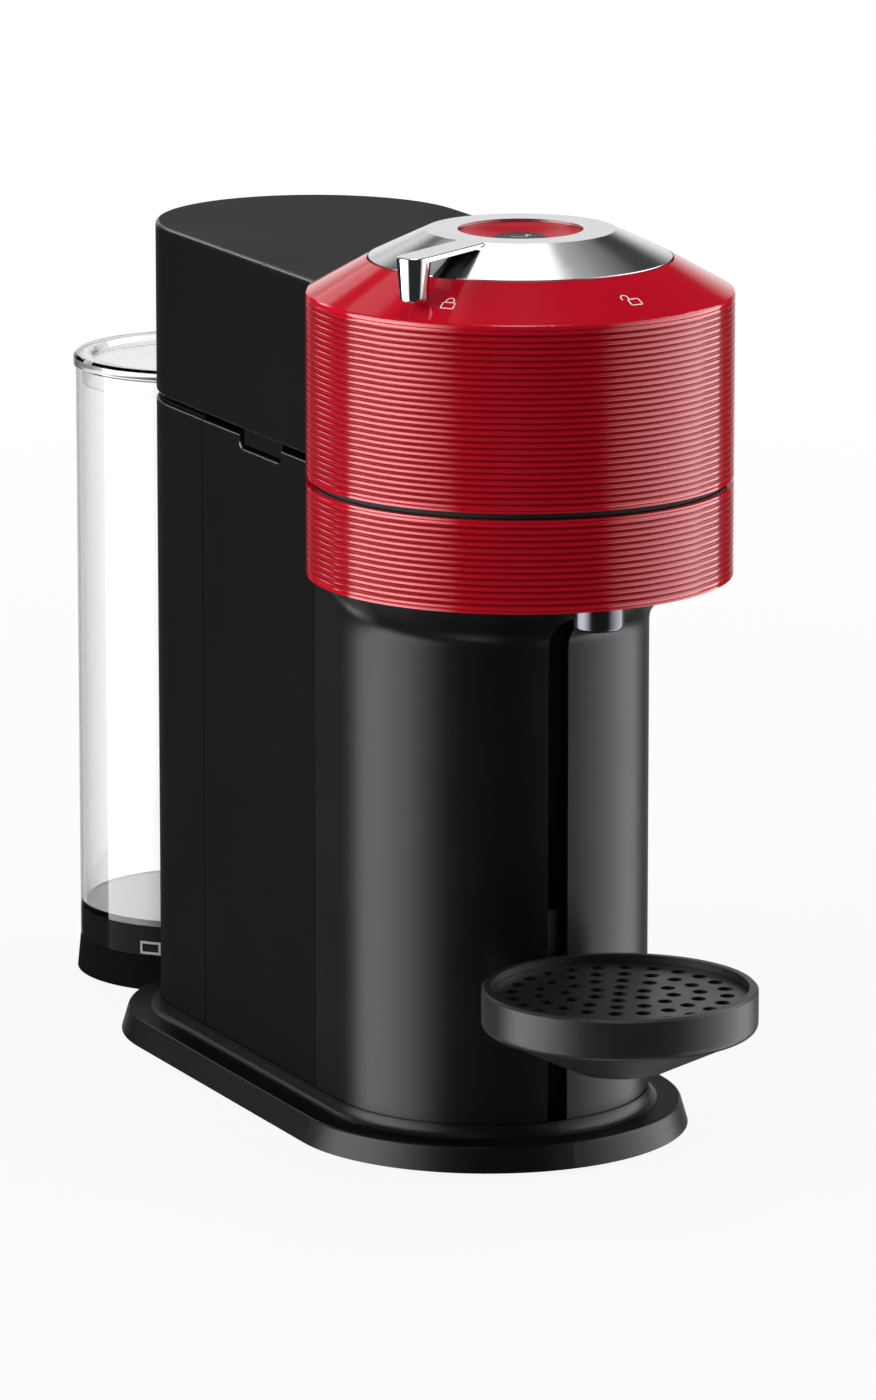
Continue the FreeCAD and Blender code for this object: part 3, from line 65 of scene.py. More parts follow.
def linear(hex_colour: str) -> tuple[float, float, float, float]:
    """Turn an sRGB hex colour into linear light.

    Args:
        hex_colour: Colour such as "#b4122a".

    Returns:
        Linear red, green, blue and an alpha of 1.
    """
    channels = [int(hex_colour[i:i + 2], 16) / 255 for i in (1, 3, 5)]
    red, green, blue = (c / 12.92 if c <= 0.04045 else ((c + 0.055) / 1.055) ** 2.4 for c in channels)
    return red, green, blue, 1.0


def add_node(
    tree: bpy.types.NodeTree,
    kind: str,
    settings: dict[int | str, Any] | None = None,
    links: dict[int | str, bpy.types.NodeSocket] | None = None,
) -> bpy.types.Node:
    """Add a node with its settings and links.

    Args:
        tree: Tree that takes the node.
        kind: Blender's name of the node type.
        settings: Values for the node's properties, or for its sockets by name or number.
        links: Output socket for each input socket's name or number.

    Returns:
        The new node.
    """
    node = tree.nodes.new(kind)
    for name, value in (settings or {}).items():
        if isinstance(name, str) and hasattr(node, name):
            setattr(node, name, value)
        else:
            node.inputs[name].default_value = value
    for name, source in (links or {}).items():
        tree.links.new(source, node.inputs[name])
    return node


class Grain(Enum):
    """How the small relief of a surface lies: its scale along X, Y and Z."""

    EVEN = (1.0, 1.0, 1.0)
    UPRIGHT = (1.0, 1.0, 0.02)
    ALONG = (1.0, 0.03, 1.0)


@dataclass(frozen=True)
class Finish:
    """One real material with the surface that its making gave it.

    The tint is a second shade that drifts through the colour, the sheen drift is how far the
    roughness wanders over a patch, the grain is the small relief, and the edge shade darkens a clear
    wall between the two edge slants, where the look goes through it lengthwise.
    """

    name: str
    colour: str
    tint: str
    roughness: float
    sheen_drift: float = 0.05
    patch_mm: float = 22.0
    patch_detail: float = 3.0
    grain_mm: float = 0.4
    grain_depth_mm: float = 0.01
    grain_detail: float = 2.0
    grain: Grain = Grain.EVEN
    metallic: float = 0.0
    ior: float = 1.5
    specular: float = 0.5
    transmission: float = 0.0
    edge_shade: float = 1.0
    edge_slants: tuple[float, float] = (0.4, 0.9)

    def material(self) -> bpy.types.Material:
        """Make the material once and give the same one afterwards.

        Returns:
            The node material of this finish.
        """
        found = bpy.data.materials.get(self.name)
        if found:
            return found
        made = bpy.data.materials.new(self.name)
        made.use_nodes = True
        tree = made.node_tree
        tree.nodes.clear()
        place = add_node(tree, "ShaderNodeTexCoord").outputs["Object"]
        patch = add_node(tree, "ShaderNodeTexNoise", {
            "Scale": 1 / (self.patch_mm * MM), "Detail": self.patch_detail},
            {"Vector": place}).outputs["Fac"]
        colour = add_node(tree, "ShaderNodeMix", {
            "data_type": "RGBA", MIX_FIRST: linear(self.colour), MIX_SECOND: linear(self.tint)},
            {MIX_SHARE: patch}).outputs[MIX_RESULT]
        if self.edge_shade < 1.0:
            slant = add_node(tree, "ShaderNodeLayerWeight").outputs["Facing"]
            depth = add_node(tree, "ShaderNodeMapRange", {
                "From Min": self.edge_slants[0], "From Max": self.edge_slants[1],
                "To Min": 1.0, "To Max": self.edge_shade}, {"Value": slant}).outputs["Result"]
            colour = add_node(tree, "ShaderNodeMix", {
                "data_type": "RGBA", "blend_type": "MULTIPLY", MIX_SHARE: 1.0},
                {MIX_FIRST: colour, MIX_SECOND: depth}).outputs[MIX_RESULT]
        sheen = add_node(tree, "ShaderNodeMapRange", {
            "To Min": max(self.roughness - self.sheen_drift, 0.0),
            "To Max": self.roughness + self.sheen_drift}, {"Value": patch}).outputs["Result"]
        stretch = add_node(tree, "ShaderNodeMapping", {"Scale": self.grain.value}, {"Vector": place})
        relief = add_node(tree, "ShaderNodeTexNoise", {
            "Scale": 1 / (self.grain_mm * MM), "Detail": self.grain_detail},
            {"Vector": stretch.outputs["Vector"]}).outputs["Fac"]
        bump = add_node(tree, "ShaderNodeBump", {"Strength": 1.0, "Distance": self.grain_depth_mm * MM},
                        {"Height": relief}).outputs["Normal"]
        surface = add_node(tree, "ShaderNodeBsdfPrincipled", {
            "Metallic": self.metallic, "Specular IOR Level": self.specular,
            "Transmission Weight": self.transmission},
            {"Base Color": colour, "Roughness": sheen, "Normal": bump})
        if not self.metallic:
            surface.inputs["IOR"].default_value = self.ior
        add_node(tree, "ShaderNodeOutputMaterial", None, {"Surface": surface.outputs["BSDF"]})
        return made


# Grain on real mouldings and metals is 0.05 to 0.2 mm across, too fine to show in the picture, so all
# grain under 1 mm is drawn two to six times as coarse. Wider ripple has its real size.

# Moulded in a spark-eroded tool: an even fine grain that turns light into a soft dull sheen.
GRAINED_BLACK = Finish(
    "Black ABS, spark-grain moulding", "#0d0d0d", "#101010",
    roughness=0.5, sheen_drift=0.04, patch_mm=40.0, grain_mm=0.45, grain_depth_mm=0.012, specular=0.045,
)
# Moulded in a finely etched tool: dull black that only the steep light brings up.
FINE_BLACK = Finish(
    "Black ABS, fine-grain moulding", "#070707", "#0a0a0a",
    roughness=0.44, sheen_drift=0.04, patch_mm=30.0, grain_mm=0.4, grain_depth_mm=0.008, specular=0.03,
)
# Where the covers meet the grain runs out and hands polish it: a thin bright line along each edge.
RUBBED_BLACK = Finish(
    "Black ABS, rubbed edge", "#141414", "#181818",
    roughness=0.26, sheen_drift=0.03, patch_mm=20.0, grain_mm=0.5, grain_depth_mm=0.004, ior=1.9,
)
# Moulded in a stoned tool: smooth to the finger, with a broad satin highlight.
SATIN_BLACK = Finish(
    "Black ABS, satin moulding", "#060606", "#080808",
    roughness=0.36, sheen_drift=0.03, patch_mm=30.0, grain_mm=0.5, grain_depth_mm=0.004, specular=0.3,
)
# Moulded in a polished tool and coloured through: deep red under a clear, bright skin.
GLOSS_RED = Finish(
    "Red ABS, gloss moulding", "#b90a20", "#c00d25",
    roughness=0.11, sheen_drift=0.02, patch_mm=25.0, grain_mm=0.6, grain_depth_mm=0.002,
)
# The same red drawn into fine ribs, whose crests flash in the light; each ribbed cover below adds painted
# shade in the grooves between them.
RIBBED_RED = Finish(
    "Red ABS, gloss ribbed moulding", "#b90a20", "#c00d25",
    roughness=0.11, sheen_drift=0.02, patch_mm=25.0, grain_mm=0.6, grain_depth_mm=0.002, metallic=0.1,
    specular=0.9,
)
# Bright chrome over polished plastic: a mirror with hardly any ripple.
BRIGHT_CHROME = Finish(
    "Chrome on ABS, polished plating", "#d4d5d8", "#dcdde0",
    roughness=0.05, sheen_drift=0.02, patch_mm=20.0, grain_mm=2.5, grain_depth_mm=0.002, metallic=1.0,
)
# Chrome over a matt-blasted face: silvery and soft, without mirror images.
SATIN_CHROME = Finish(
    "Chrome on ABS, blasted plating", "#d2d2d4", "#dcdcde",
    roughness=0.2, sheen_drift=0.03, patch_mm=15.0, grain_mm=0.3, grain_depth_mm=0.0015, metallic=1.0,
)
# Chrome over a brushed flank: light runs over it in one soft wave.
BRUSHED_CHROME = Finish(
    "Chrome on ABS, brushed plating", "#d0d1d3", "#dadbdd",
    roughness=0.2, sheen_drift=0.03, patch_mm=15.0, grain_mm=0.3, grain_depth_mm=0.001,
    grain=Grain.UPRIGHT, metallic=1.0,
)
# Chrome over a dark undercoat: deep grey that brightens only towards the lamps.
SMOKED_CHROME = Finish(
    "Black chrome on ABS, satin plating", "#5c5b60", "#646368",
    roughness=0.22, sheen_drift=0.03, patch_mm=10.0, grain_mm=0.4, grain_depth_mm=0.003, metallic=1.0,
)
# Dark nylon straight from the tool: flat and a little chalky.
DARK_NYLON = Finish(
    "Dark nylon, plain moulding", "#1c1c1d", "#222223",
    roughness=0.5, sheen_drift=0.06, patch_mm=12.0, grain_mm=0.5, grain_depth_mm=0.01,
)
# Grey blend with fine fillers: grain catches a faint sparkle.
GRAINED_GREY = Finish(
    "Dark grey PC-ABS, spark-grain moulding", "#161616", "#1a1a1a",
    roughness=0.4, sheen_drift=0.05, patch_mm=18.0, grain_mm=0.5, grain_depth_mm=0.02, specular=0.42,
)
# Polypropylene that is wiped and rinsed often: waxy with uneven sheen.
WAXY_BLACK = Finish(
    "Black polypropylene, moulding", "#101010", "#161616",
    roughness=0.36, sheen_drift=0.08, patch_mm=14.0, grain_mm=0.8, grain_depth_mm=0.008,
)
# Clear styrene copolymer from a polished tool: glassy with faint flow ripple.
CLEAR_SAN = Finish(
    "Clear SAN, polished moulding", "#fbfcfc", "#ffffff",
    roughness=0.02, sheen_drift=0.015, patch_mm=45.0, grain_mm=30.0, grain_depth_mm=0.01, ior=1.57,
    transmission=1.0, edge_shade=0.6,
)
# Fine raised line round the tank's foot, painted pale as a highlight against the painted shade of the
# wall.
PAINTED_LINE_HIGHLIGHT = Finish(
    "Clear SAN, raised line with painted highlight", "#8c8c8c", "#969696",
    roughness=0.4, sheen_drift=0.04, patch_mm=6.0, grain_mm=0.3, grain_depth_mm=0.006,
)
# Glass-filled and left as moulded: a dry black without a highlight.
DRY_BLACK = Finish(
    "Black polypropylene, coarse-grain moulding", "#070707", "#0a0a0a",
    roughness=0.65, sheen_drift=0.05, patch_mm=25.0, grain_mm=0.6, grain_depth_mm=0.015, specular=0.02,
)
# Red of the covers in a blasted tool: deep and even, with no mirror in it.
MATT_RED = Finish(
    "Red ABS, blasted moulding", "#b00a20", "#b70d25",
    roughness=0.4, sheen_drift=0.03, patch_mm=12.0, grain_mm=0.4, grain_depth_mm=0.006, specular=0.12,
)
# Black acrylic lens over the switch: smooth, kept dull against glare.
SOFT_BLACK = Finish(
    "Black acrylic, etched moulding", "#050505", "#080808",
    roughness=0.35, sheen_drift=0.03, patch_mm=8.0, grain_mm=0.5, grain_depth_mm=0.003, specular=0.12,
)
# Opaque ink pressed from a soft pad: flat with slightly starved edges.
WHITE_INK = Finish(
    "White ink, pad printing", "#efeae8", "#f7f4f2",
    roughness=0.55, sheen_drift=0.08, patch_mm=1.5, grain_mm=0.2, grain_depth_mm=0.004,
)
# Silicone and other soft rubber: dull, with a dusty bloom.
SOFT_RUBBER = Finish(
    "Black rubber, moulding", "#141414", "#1d1d1d",
    roughness=0.7, sheen_drift=0.08, patch_mm=10.0, grain_mm=0.6, grain_depth_mm=0.015,
)
# Turned bar: fine tool lines round the piece.
TURNED_STEEL = Finish(
    "Stainless steel, turned", "#b9babd", "#c6c7ca",
    roughness=0.24, sheen_drift=0.06, patch_mm=8.0, grain_mm=0.25, grain_depth_mm=0.006,
    grain=Grain.UPRIGHT, metallic=1.0,
)
# Rolled and zinc-plated sheet: lengthwise rolling lines and cloudy zinc.
ZINC_SHEET = Finish(
    "Steel sheet, zinc plated", "#9a9c9f", "#b2b4b7",
    roughness=0.36, sheen_drift=0.1, patch_mm=9.0, grain_mm=0.35, grain_depth_mm=0.006,
    grain=Grain.ALONG, metallic=1.0,
)
# Pressure-cast and tumbled: greyish with a pebbly skin.
CAST_ALUMINIUM = Finish(
    "Aluminium, die cast", "#9b9da0", "#aaacaf",
    roughness=0.45, sheen_drift=0.1, patch_mm=6.0, grain_mm=0.7, grain_depth_mm=0.03, metallic=1.0,
)
# Uncoloured acetal: milky white, slightly waxy.
NATURAL_ACETAL = Finish(
    "Natural acetal, moulding", "#d8d4c8", "#e2dfd5",
    roughness=0.4, sheen_drift=0.06, patch_mm=14.0, grain_mm=0.7, grain_depth_mm=0.008,
)
# Glass-epoxy board under solder mask: green lacquer over a faint weave.
BOARD_GREEN = Finish(
    "Epoxy laminate, solder mask", "#0f4a2a", "#14582f",
    roughness=0.3, sheen_drift=0.05, patch_mm=5.0, grain_mm=0.5, grain_depth_mm=0.02,
)


def dress(nodes: Nodes, finish: Finish, names: Iterable[str]) -> None:
    """Give whole nodes one finish.

    Args:
        nodes: Every node of the frame by name.
        finish: Finish for all their faces.
        names: Nodes to dress.
    """
    for name in names:
        mesh = nodes[name].data
        mesh.materials.clear()
        mesh.materials.append(finish.material())
        LOG.info("%s: %s", name, finish.name)


def dress_faces(node: bpy.types.Object, finish: Finish, pick: FaceTest) -> None:
    """Give some faces of a node a second finish.

    Args:
        node: Node that already has its main finish.
        finish: Finish for the chosen faces.
        pick: Test that chooses a face.
    """
    mesh = node.data
    mesh.materials.append(finish.material())
    index = len(mesh.materials) - 1
    for face in mesh.polygons:
        if pick(face):
            face.material_index = index
    LOG.info("%s: some faces in %s", node.name, finish.name)


def mesh_piece(
    name: str, points: Sequence[Vector], faces: Sequence[Sequence[int]], finish: Finish, body: str,
) -> None:
    """Make a new piece that rides on a body.

    Args:
        name: Name of the piece.
        points: Corners in metres.
        faces: Corner numbers of each face.
        finish: Finish of the piece.
        body: Body that carries it.
    """
    mesh = bpy.data.meshes.new(name)
    mesh.from_pydata([tuple(p) for p in points], [], [tuple(f) for f in faces])
    mesh.materials.append(finish.material())
    piece = bpy.data.objects.new(name, mesh)
    bpy.context.scene.collection.objects.link(piece)
    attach(piece, body)
    LOG.info("%s: new piece in %s", name, finish.name)


@dataclass
class Sign:
    """Thin printed strokes laid on a face, drawn in millimetres round the sign's middle."""

    name: str
    body: str
    surface: Surface
    stroke_mm: float = 0.42
    strokes: list[list[Point2]] = field(default_factory=list)

    @staticmethod
    def arc(centre: Point2, radius: float, start: float, end: float, steps: int = 14) -> list[Point2]:
        """Give points along an arc.

        Args:
            centre: Middle of the arc.
            radius: Its radius.
            start: First angle in degrees.
            end: Last angle in degrees.
            steps: Number of straight pieces.

        Returns:
            Points from the first angle to the last.
        """
        angles = [math.radians(start + (end - start) * i / steps) for i in range(steps + 1)]
        return [(centre[0] + radius * math.cos(a), centre[1] + radius * math.sin(a)) for a in angles]

    def build(self) -> None:
        """Lay every stroke as a strip of faces on the surface."""
        points: list[Vector] = []
        faces: list[list[int]] = []
        for stroke in self.strokes:
            first = len(points)
            for index, (x, y) in enumerate(stroke):
                before = stroke[max(index - 1, 0)]
                after = stroke[min(index + 1, len(stroke) - 1)]
                along = Vector((after[0] - before[0], after[1] - before[1])).normalized()
                side = Vector((-along.y, along.x)) * self.stroke_mm / 2
                points.append(self.surface(x + side.x, y + side.y))
                points.append(self.surface(x - side.x, y - side.y))
            for step in range(len(stroke) - 1):
                a = first + 2 * step
                faces.append([a, a + 1, a + 3, a + 2])
        mesh_piece(self.name, points, faces, WHITE_INK, self.body)


@dataclass
class LockSigns:
    """Closed and open padlocks printed on the smooth cone of the head cap.

    The cone's two points are a radius and a height each.
    """

    cone_low_mm: Point2 = (71.0, 291.0)
    cone_high_mm: Point2 = (50.9, 302.3)
    print_radius_mm: float = 61.2
    closed_angle: float = -138.0
    open_angle: float = -79.5
    width_mm: float = 4.2
    case_height_mm: float = 3.0
    corner_mm: float = 0.5
    corner_steps: int = 4
    bow_inset_mm: float = 0.75
    bow_leg_mm: float = 0.9
    lift_mm: float = 0.03

    def on_cone(self, angle: float) -> Surface:
        """Give the mapping from sign millimetres to the cone at an angle.

        Args:
            angle: Direction of the sign's middle round the head in degrees.

        Returns:
            A function from sign coordinates to a point in metres.
        """
        run = self.cone_high_mm[0] - self.cone_low_mm[0]
        rise = self.cone_high_mm[1] - self.cone_low_mm[1]
        length = math.hypot(run, rise)

        def place(x: float, y: float) -> Vector:
            """Lay one point of the sign on the cone.

            Args:
                x: Place round the cone.
                y: Place up its slope.

            Returns:
                The point in metres, lifted clear of the cone.
            """
            radius = self.print_radius_mm + y * run / length
            height = self.cone_low_mm[1] + (radius - self.cone_low_mm[0]) * rise / run
            turn = math.radians(angle) + x / self.print_radius_mm
            out = radius + self.lift_mm * rise / length
            up = height - self.lift_mm * run / length
            return Vector((out * math.cos(turn), HEAD_Y_MM + out * math.sin(turn), up)) * MM

        return place

    def padlock(self, name: str, angle: float, opened: bool) -> Sign:
        """Draw one padlock.

        Args:
            name: Name of the printed piece.
            angle: Direction round the head in degrees.
            opened: Whether the bow is swung open.

        Returns:
            The sign, ready to build.
        """
        sign = Sign(name, "lid", self.on_cone(angle))
        half = self.width_mm / 2
        right, top = half - self.corner_mm, -self.corner_mm
        left, low = -right, self.corner_mm - self.case_height_mm
        corners = ((0, (right, top)), (90, (left, top)), (180, (left, low)), (270, (right, low)))
        case: list[Point2] = []
        for start, centre in corners:
            case += sign.arc(centre, self.corner_mm, start, start + 90, self.corner_steps)
        sign.strokes.append(case + case[:1])
        bow = half - self.bow_inset_mm
        middle = -2 * bow if opened else 0.0
        bend = sign.arc((middle, self.bow_leg_mm), bow, 0, 180)
        sign.strokes.append([(middle + bow, 0.0), *bend, (middle - bow, 0.0)])
        return sign

    def build(self) -> None:
        """Print both padlocks."""
        self.padlock("closed_lock_sign", self.closed_angle, False).build()
        self.padlock("open_lock_sign", self.open_angle, True).build()


@dataclass
class StartButton:
    """Round start button in its red dish, with a plain cup sign."""

    top_mm: float = 309.1
    lift_mm: float = 0.02
    stroke_mm: float = 0.45
    cup_half_mm: float = 2.6
    bowl_mm: float = 0.9
    rim_mm: float = 1.6
    handle_mm: float = 0.5
    handle_radius_mm: float = 1.1
    handle_angles: tuple[float, float] = (-70.0, 90.0)
    handle_steps: int = 8

    def dress(self, nodes: Nodes) -> None:
        """Finish the dish and the button."""
        dress(nodes, MATT_RED, ["button_dish"])
        dress(nodes, SOFT_BLACK, ["start_button"])

    def on_top(self, x: float, y: float) -> Vector:
        """Lay one point of the sign on the button's top."""
        return Vector((x, HEAD_Y_MM + y, self.top_mm + self.lift_mm)) * MM

    def build(self) -> None:
        """Print a cup on the button."""
        sign = Sign("cup_sign", "start_button", self.on_top, self.stroke_mm)
        half = self.cup_half_mm
        bowl = sign.arc((0.0, self.bowl_mm), half, 180, 360)
        sign.strokes.append([(-half, self.rim_mm), *bowl, (half, self.rim_mm)])
        sign.strokes.append(sign.arc(
            (half, self.handle_mm), self.handle_radius_mm, *self.handle_angles, self.handle_steps))
        sign.build()


@dataclass
class Lever:
    """Bright lever ring with a satin top and a polished peg, on its dark hub."""

    top_mm: float = 311.6
    top_slack_mm: float = 0.05
    ring_radius_mm: float = 52.5
    flat_normal: float = 0.95

    def dress(self, nodes: Nodes) -> None:
        """Brush the flank, polish the peg and blast the flat top.

        Args:
            nodes: Every node of the frame by name.
        """
        dress(nodes, DARK_NYLON, ["lever_hub"])
        dress(nodes, BRUSHED_CHROME, ["lever_ring"])
        ring = nodes["lever_ring"]
        axis = Vector((0.0, HEAD_Y_MM)) * MM
        reach = self.ring_radius_mm * MM
        level = (self.top_mm - self.top_slack_mm) * MM
        dress_faces(ring, BRIGHT_CHROME, lambda f: (f.center.xy - axis).length > reach)
        dress_faces(ring, SATIN_CHROME, lambda f: f.normal.z > self.flat_normal and f.center.z > level)


@dataclass(frozen=True)
class RibbedCover:
    """Red cover with fine ribs round it between two heights, and a smooth cone above where it has one."""

    node: str
    low_mm: float
    high_mm: float
    ribs: int
    # Darker red painted into the grooves as shade.
    painted_groove_shade: str = "#84040f"
    groove_roughness: float = 0.22
    cone_normal: float = 0.2

    def dress(self, nodes: Nodes) -> None:
        """Finish the cover with painted shade in the grooves: a darker red, no glare and a duller surface
        than the crests beside them.

        Args:
            nodes: Every node of the frame by name.
        """
        dress(nodes, RIBBED_RED, [self.node])
        made = RIBBED_RED.material().copy()
        tree = made.node_tree
        surface = next(n for n in tree.nodes if n.bl_idname == "ShaderNodeBsdfPrincipled")
        red = surface.inputs["Base Color"].links[0].from_socket
        sheen = surface.inputs["Roughness"].links[0].from_socket
        low, high = self.low_mm * MM, self.high_mm * MM
        pitch = (high - low) / self.ribs
        half_rib = 0.5
        place = add_node(tree, "ShaderNodeTexCoord").outputs["Object"]
        height = add_node(tree, "ShaderNodeSeparateXYZ", None, {"Vector": place}).outputs["Z"]
        inside = add_node(tree, "ShaderNodeClamp", {
            "Min": low + pitch * half_rib, "Max": high - pitch * half_rib}, {"Value": height})
        count = add_node(tree, "ShaderNodeMapRange", {
            "clamp": False, "From Min": low, "From Max": low + pitch}, {"Value": inside.outputs["Result"]})
        swing = add_node(tree, "ShaderNodeMath", {"operation": "PINGPONG", 1: half_rib},
                         {0: count.outputs["Result"]})
        unshaded_share = add_node(tree, "ShaderNodeMapRange", {
            "interpolation_type": "SMOOTHSTEP", "From Max": half_rib},
            {"Value": swing.outputs["Value"]}).outputs["Result"]
        # Painted shade: the grooves take a darker red than the crests.
        colour = add_node(tree, "ShaderNodeMix", {"data_type": "RGBA", MIX_FIRST: linear(self.painted_groove_shade)},
                          {MIX_SHARE: unshaded_share, MIX_SECOND: red})
        dull = add_node(tree, "ShaderNodeMapRange", {"To Min": self.groove_roughness},
                        {"Value": unshaded_share, "To Max": sheen})
        tree.links.new(colour.outputs[MIX_RESULT], surface.inputs["Base Color"])
        # Painted shade on the glare too: the grooves lose their reflection.
        tree.links.new(unshaded_share, surface.inputs["Specular Tint"])
        tree.links.new(dull.outputs["Result"], surface.inputs["Roughness"])
        nodes[self.node].data.materials[0] = made
        dress_faces(nodes[self.node], GLOSS_RED,
                    lambda f: f.normal.z > self.cone_normal and f.center.z > high)


@dataclass
class Body:
    """Covers, column, foot and hood that make the outside of the machine.

    A face counts as flat or upright by how far its normal points up or down.
    """

    grained: tuple[str, ...] = ("side_panel_left", "side_panel_right", "rear_shell", "hood")
    satin: tuple[str, ...] = ("front_column", "base_shell")
    dry: tuple[str, ...] = ("tank_holder",)
    ribbed: tuple[RibbedCover, ...] = (
        RibbedCover("head_cap", low_mm=230.3, high_mm=289.8, ribs=29),
        RibbedCover("chamber_sleeve", low_mm=197.1, high_mm=226.7, ribs=14),
    )
    plain: tuple[str, ...] = ("base_plate", "lid_frame", "cord_gland", "chamber_housing")
    rubber: tuple[str, ...] = ("rubber_feet", "chamber_seal")
    steel: tuple[str, ...] = ("hinge_pin", "base_screws")
    flat_normal: float = 0.97
    upright_normal: float = 0.2

    def dress(self, nodes: Nodes) -> None:
        """Finish each cover, with rubbed edges between the upright and the flat faces.

        Args:
            nodes: Every node of the frame by name.
        """
        dress(nodes, GRAINED_BLACK, self.grained)
        dress(nodes, SATIN_BLACK, self.satin)
        dress(nodes, DRY_BLACK, self.dry)
        dress_faces(nodes["base_shell"], FINE_BLACK, lambda f: f.normal.z > self.flat_normal)
        for name in self.grained:
            dress_faces(nodes[name], RUBBED_BLACK,
                        lambda f: self.upright_normal < abs(f.normal.z) < self.flat_normal)
        for cover in self.ribbed:
            cover.dress(nodes)
        dress(nodes, DARK_NYLON, self.plain)
        dress(nodes, SOFT_RUBBER, self.rubber)
        dress(nodes, TURNED_STEEL, self.steel)


@dataclass
class CupSupport:
    """Cup support ring with its grid, and the slide inside the column."""

    def dress(self, nodes: Nodes) -> None:
        """Finish the ring, the grid and the slide.

        Args:
            nodes: Every node of the frame by name.
        """
        dress(nodes, GRAINED_GREY, ["cup_support"])
        dress(nodes, WAXY_BLACK, ["drip_grid"])
        dress(nodes, DARK_NYLON, ["support_carriage", "slide_channel"])


@dataclass
class WaterTank:
    """Clear tank with its lid and valve, with painted shade on its foot where the black seat shows
    through.
    """

    floor_mm: float = 25.0
    radius_mm: float = 43.5
    middle_mm: float = 170.95
    line_mm: float = 0.1
    # Painted shade for the foot: the black seat seen through the wall, with little glare.
    painted_foot_shade: str = "#161616"
    foot_shade_roughness: float = 0.1
    foot_shade_ior: float = 1.08

    def paint_foot_shade(self, tank: bpy.types.Object) -> None:
        """Paint shade on the tank's wall below the level of its floor: a dark sheet with little glare,
        standing in for the black seat seen through the clear wall.

        Args:
            tank: The tank, which already has its clear finish.
        """
        made = CLEAR_SAN.material().copy()
        made.name = "Clear SAN, polished moulding with painted shade in its foot"
        tree = made.node_tree
        end = next(n for n in tree.nodes if n.bl_idname == "ShaderNodeOutputMaterial")
        clear = end.inputs["Surface"].links[0].from_socket
        place = add_node(tree, "ShaderNodeTexCoord").outputs["Object"]
        height = add_node(tree, "ShaderNodeSeparateXYZ", None, {"Vector": place}).outputs["Z"]
        low = add_node(tree, "ShaderNodeMath", {"operation": "LESS_THAN", 1: self.floor_mm * MM},
                       {0: height})
        # Painted shade: a dark, barely reflecting sheet in place of the clear wall.
        painted_foot_shade = add_node(tree, "ShaderNodeBsdfPrincipled", {
            "Base Color": linear(self.painted_foot_shade), "Roughness": self.foot_shade_roughness, "IOR": self.foot_shade_ior})
        both = add_node(tree, "ShaderNodeMixShader", None, {
            0: low.outputs["Value"], 1: clear, 2: painted_foot_shade.outputs["BSDF"]})
        tree.links.new(both.outputs["Shader"], end.inputs["Surface"])
        tank.data.materials[0] = made

    def dress(self, nodes: Nodes) -> None:
        """Finish the clear mouldings and the valve, and paint a highlight on the raised line round the
        foot.

        Args:
            nodes: Every node of the frame by name.
        """
        dress(nodes, CLEAR_SAN, ["tank", "tank_lid"])
        self.paint_foot_shade(nodes["tank"])
        axis = Vector((0.0, self.middle_mm)) * MM
        reach = (self.radius_mm + self.line_mm) * MM
        # Painted highlight: the raised line round the foot is drawn pale.
        dress_faces(nodes["tank"], PAINTED_LINE_HIGHLIGHT,
                    lambda f: f.center.z < self.floor_mm * MM and (f.center.xy - axis).length > reach)
        dress(nodes, NATURAL_ACETAL, ["tank_valve"])
        dress(nodes, SOFT_RUBBER, ["valve_gasket"])


@dataclass
class BrewUnit:
    """Brew head, capsule holder and the drive under it."""

    def dress(self, nodes: Nodes) -> None:
        """Finish the pieces that brew and the pieces that turn them.

        Args:
            nodes: Every node of the frame by name.
        """
        dress(nodes, DARK_NYLON, ["brew_head", "capsule_holder", "capsule_bin"])
        dress(nodes, NATURAL_ACETAL, ["brew_plate", "spindle_pulley"])
        dress(nodes, SMOKED_CHROME, ["spout"])
        dress(nodes, TURNED_STEEL, ["piercing_needles", "water_needle", "spindle", "spindle_bearings",
                                    "motor_shaft", "motor_pulley"])
        dress(nodes, CAST_ALUMINIUM, ["bearing_carrier"])
        dress(nodes, ZINC_SHEET, ["motor_bracket", "drive_motor"])
        dress(nodes, SOFT_RUBBER, ["drive_belt", "lid_hose"])


@dataclass
class WaterSystem:
    """Chassis with the pump, heater, flow meter and boards in the body."""

    def dress(self, nodes: Nodes) -> None:
        """Finish the inner pieces.

        Args:
            nodes: Every node of the frame by name.
        """
        dress(nodes, DARK_NYLON, ["chassis"])
        dress(nodes, NATURAL_ACETAL, ["flow_meter"])
        dress(nodes, CAST_ALUMINIUM, ["heater"])
        dress(nodes, ZINC_SHEET, ["pump"])
        dress(nodes, SOFT_RUBBER, ["pump_mounts"])
        dress(nodes, BOARD_GREEN, ["control_board", "button_board"])


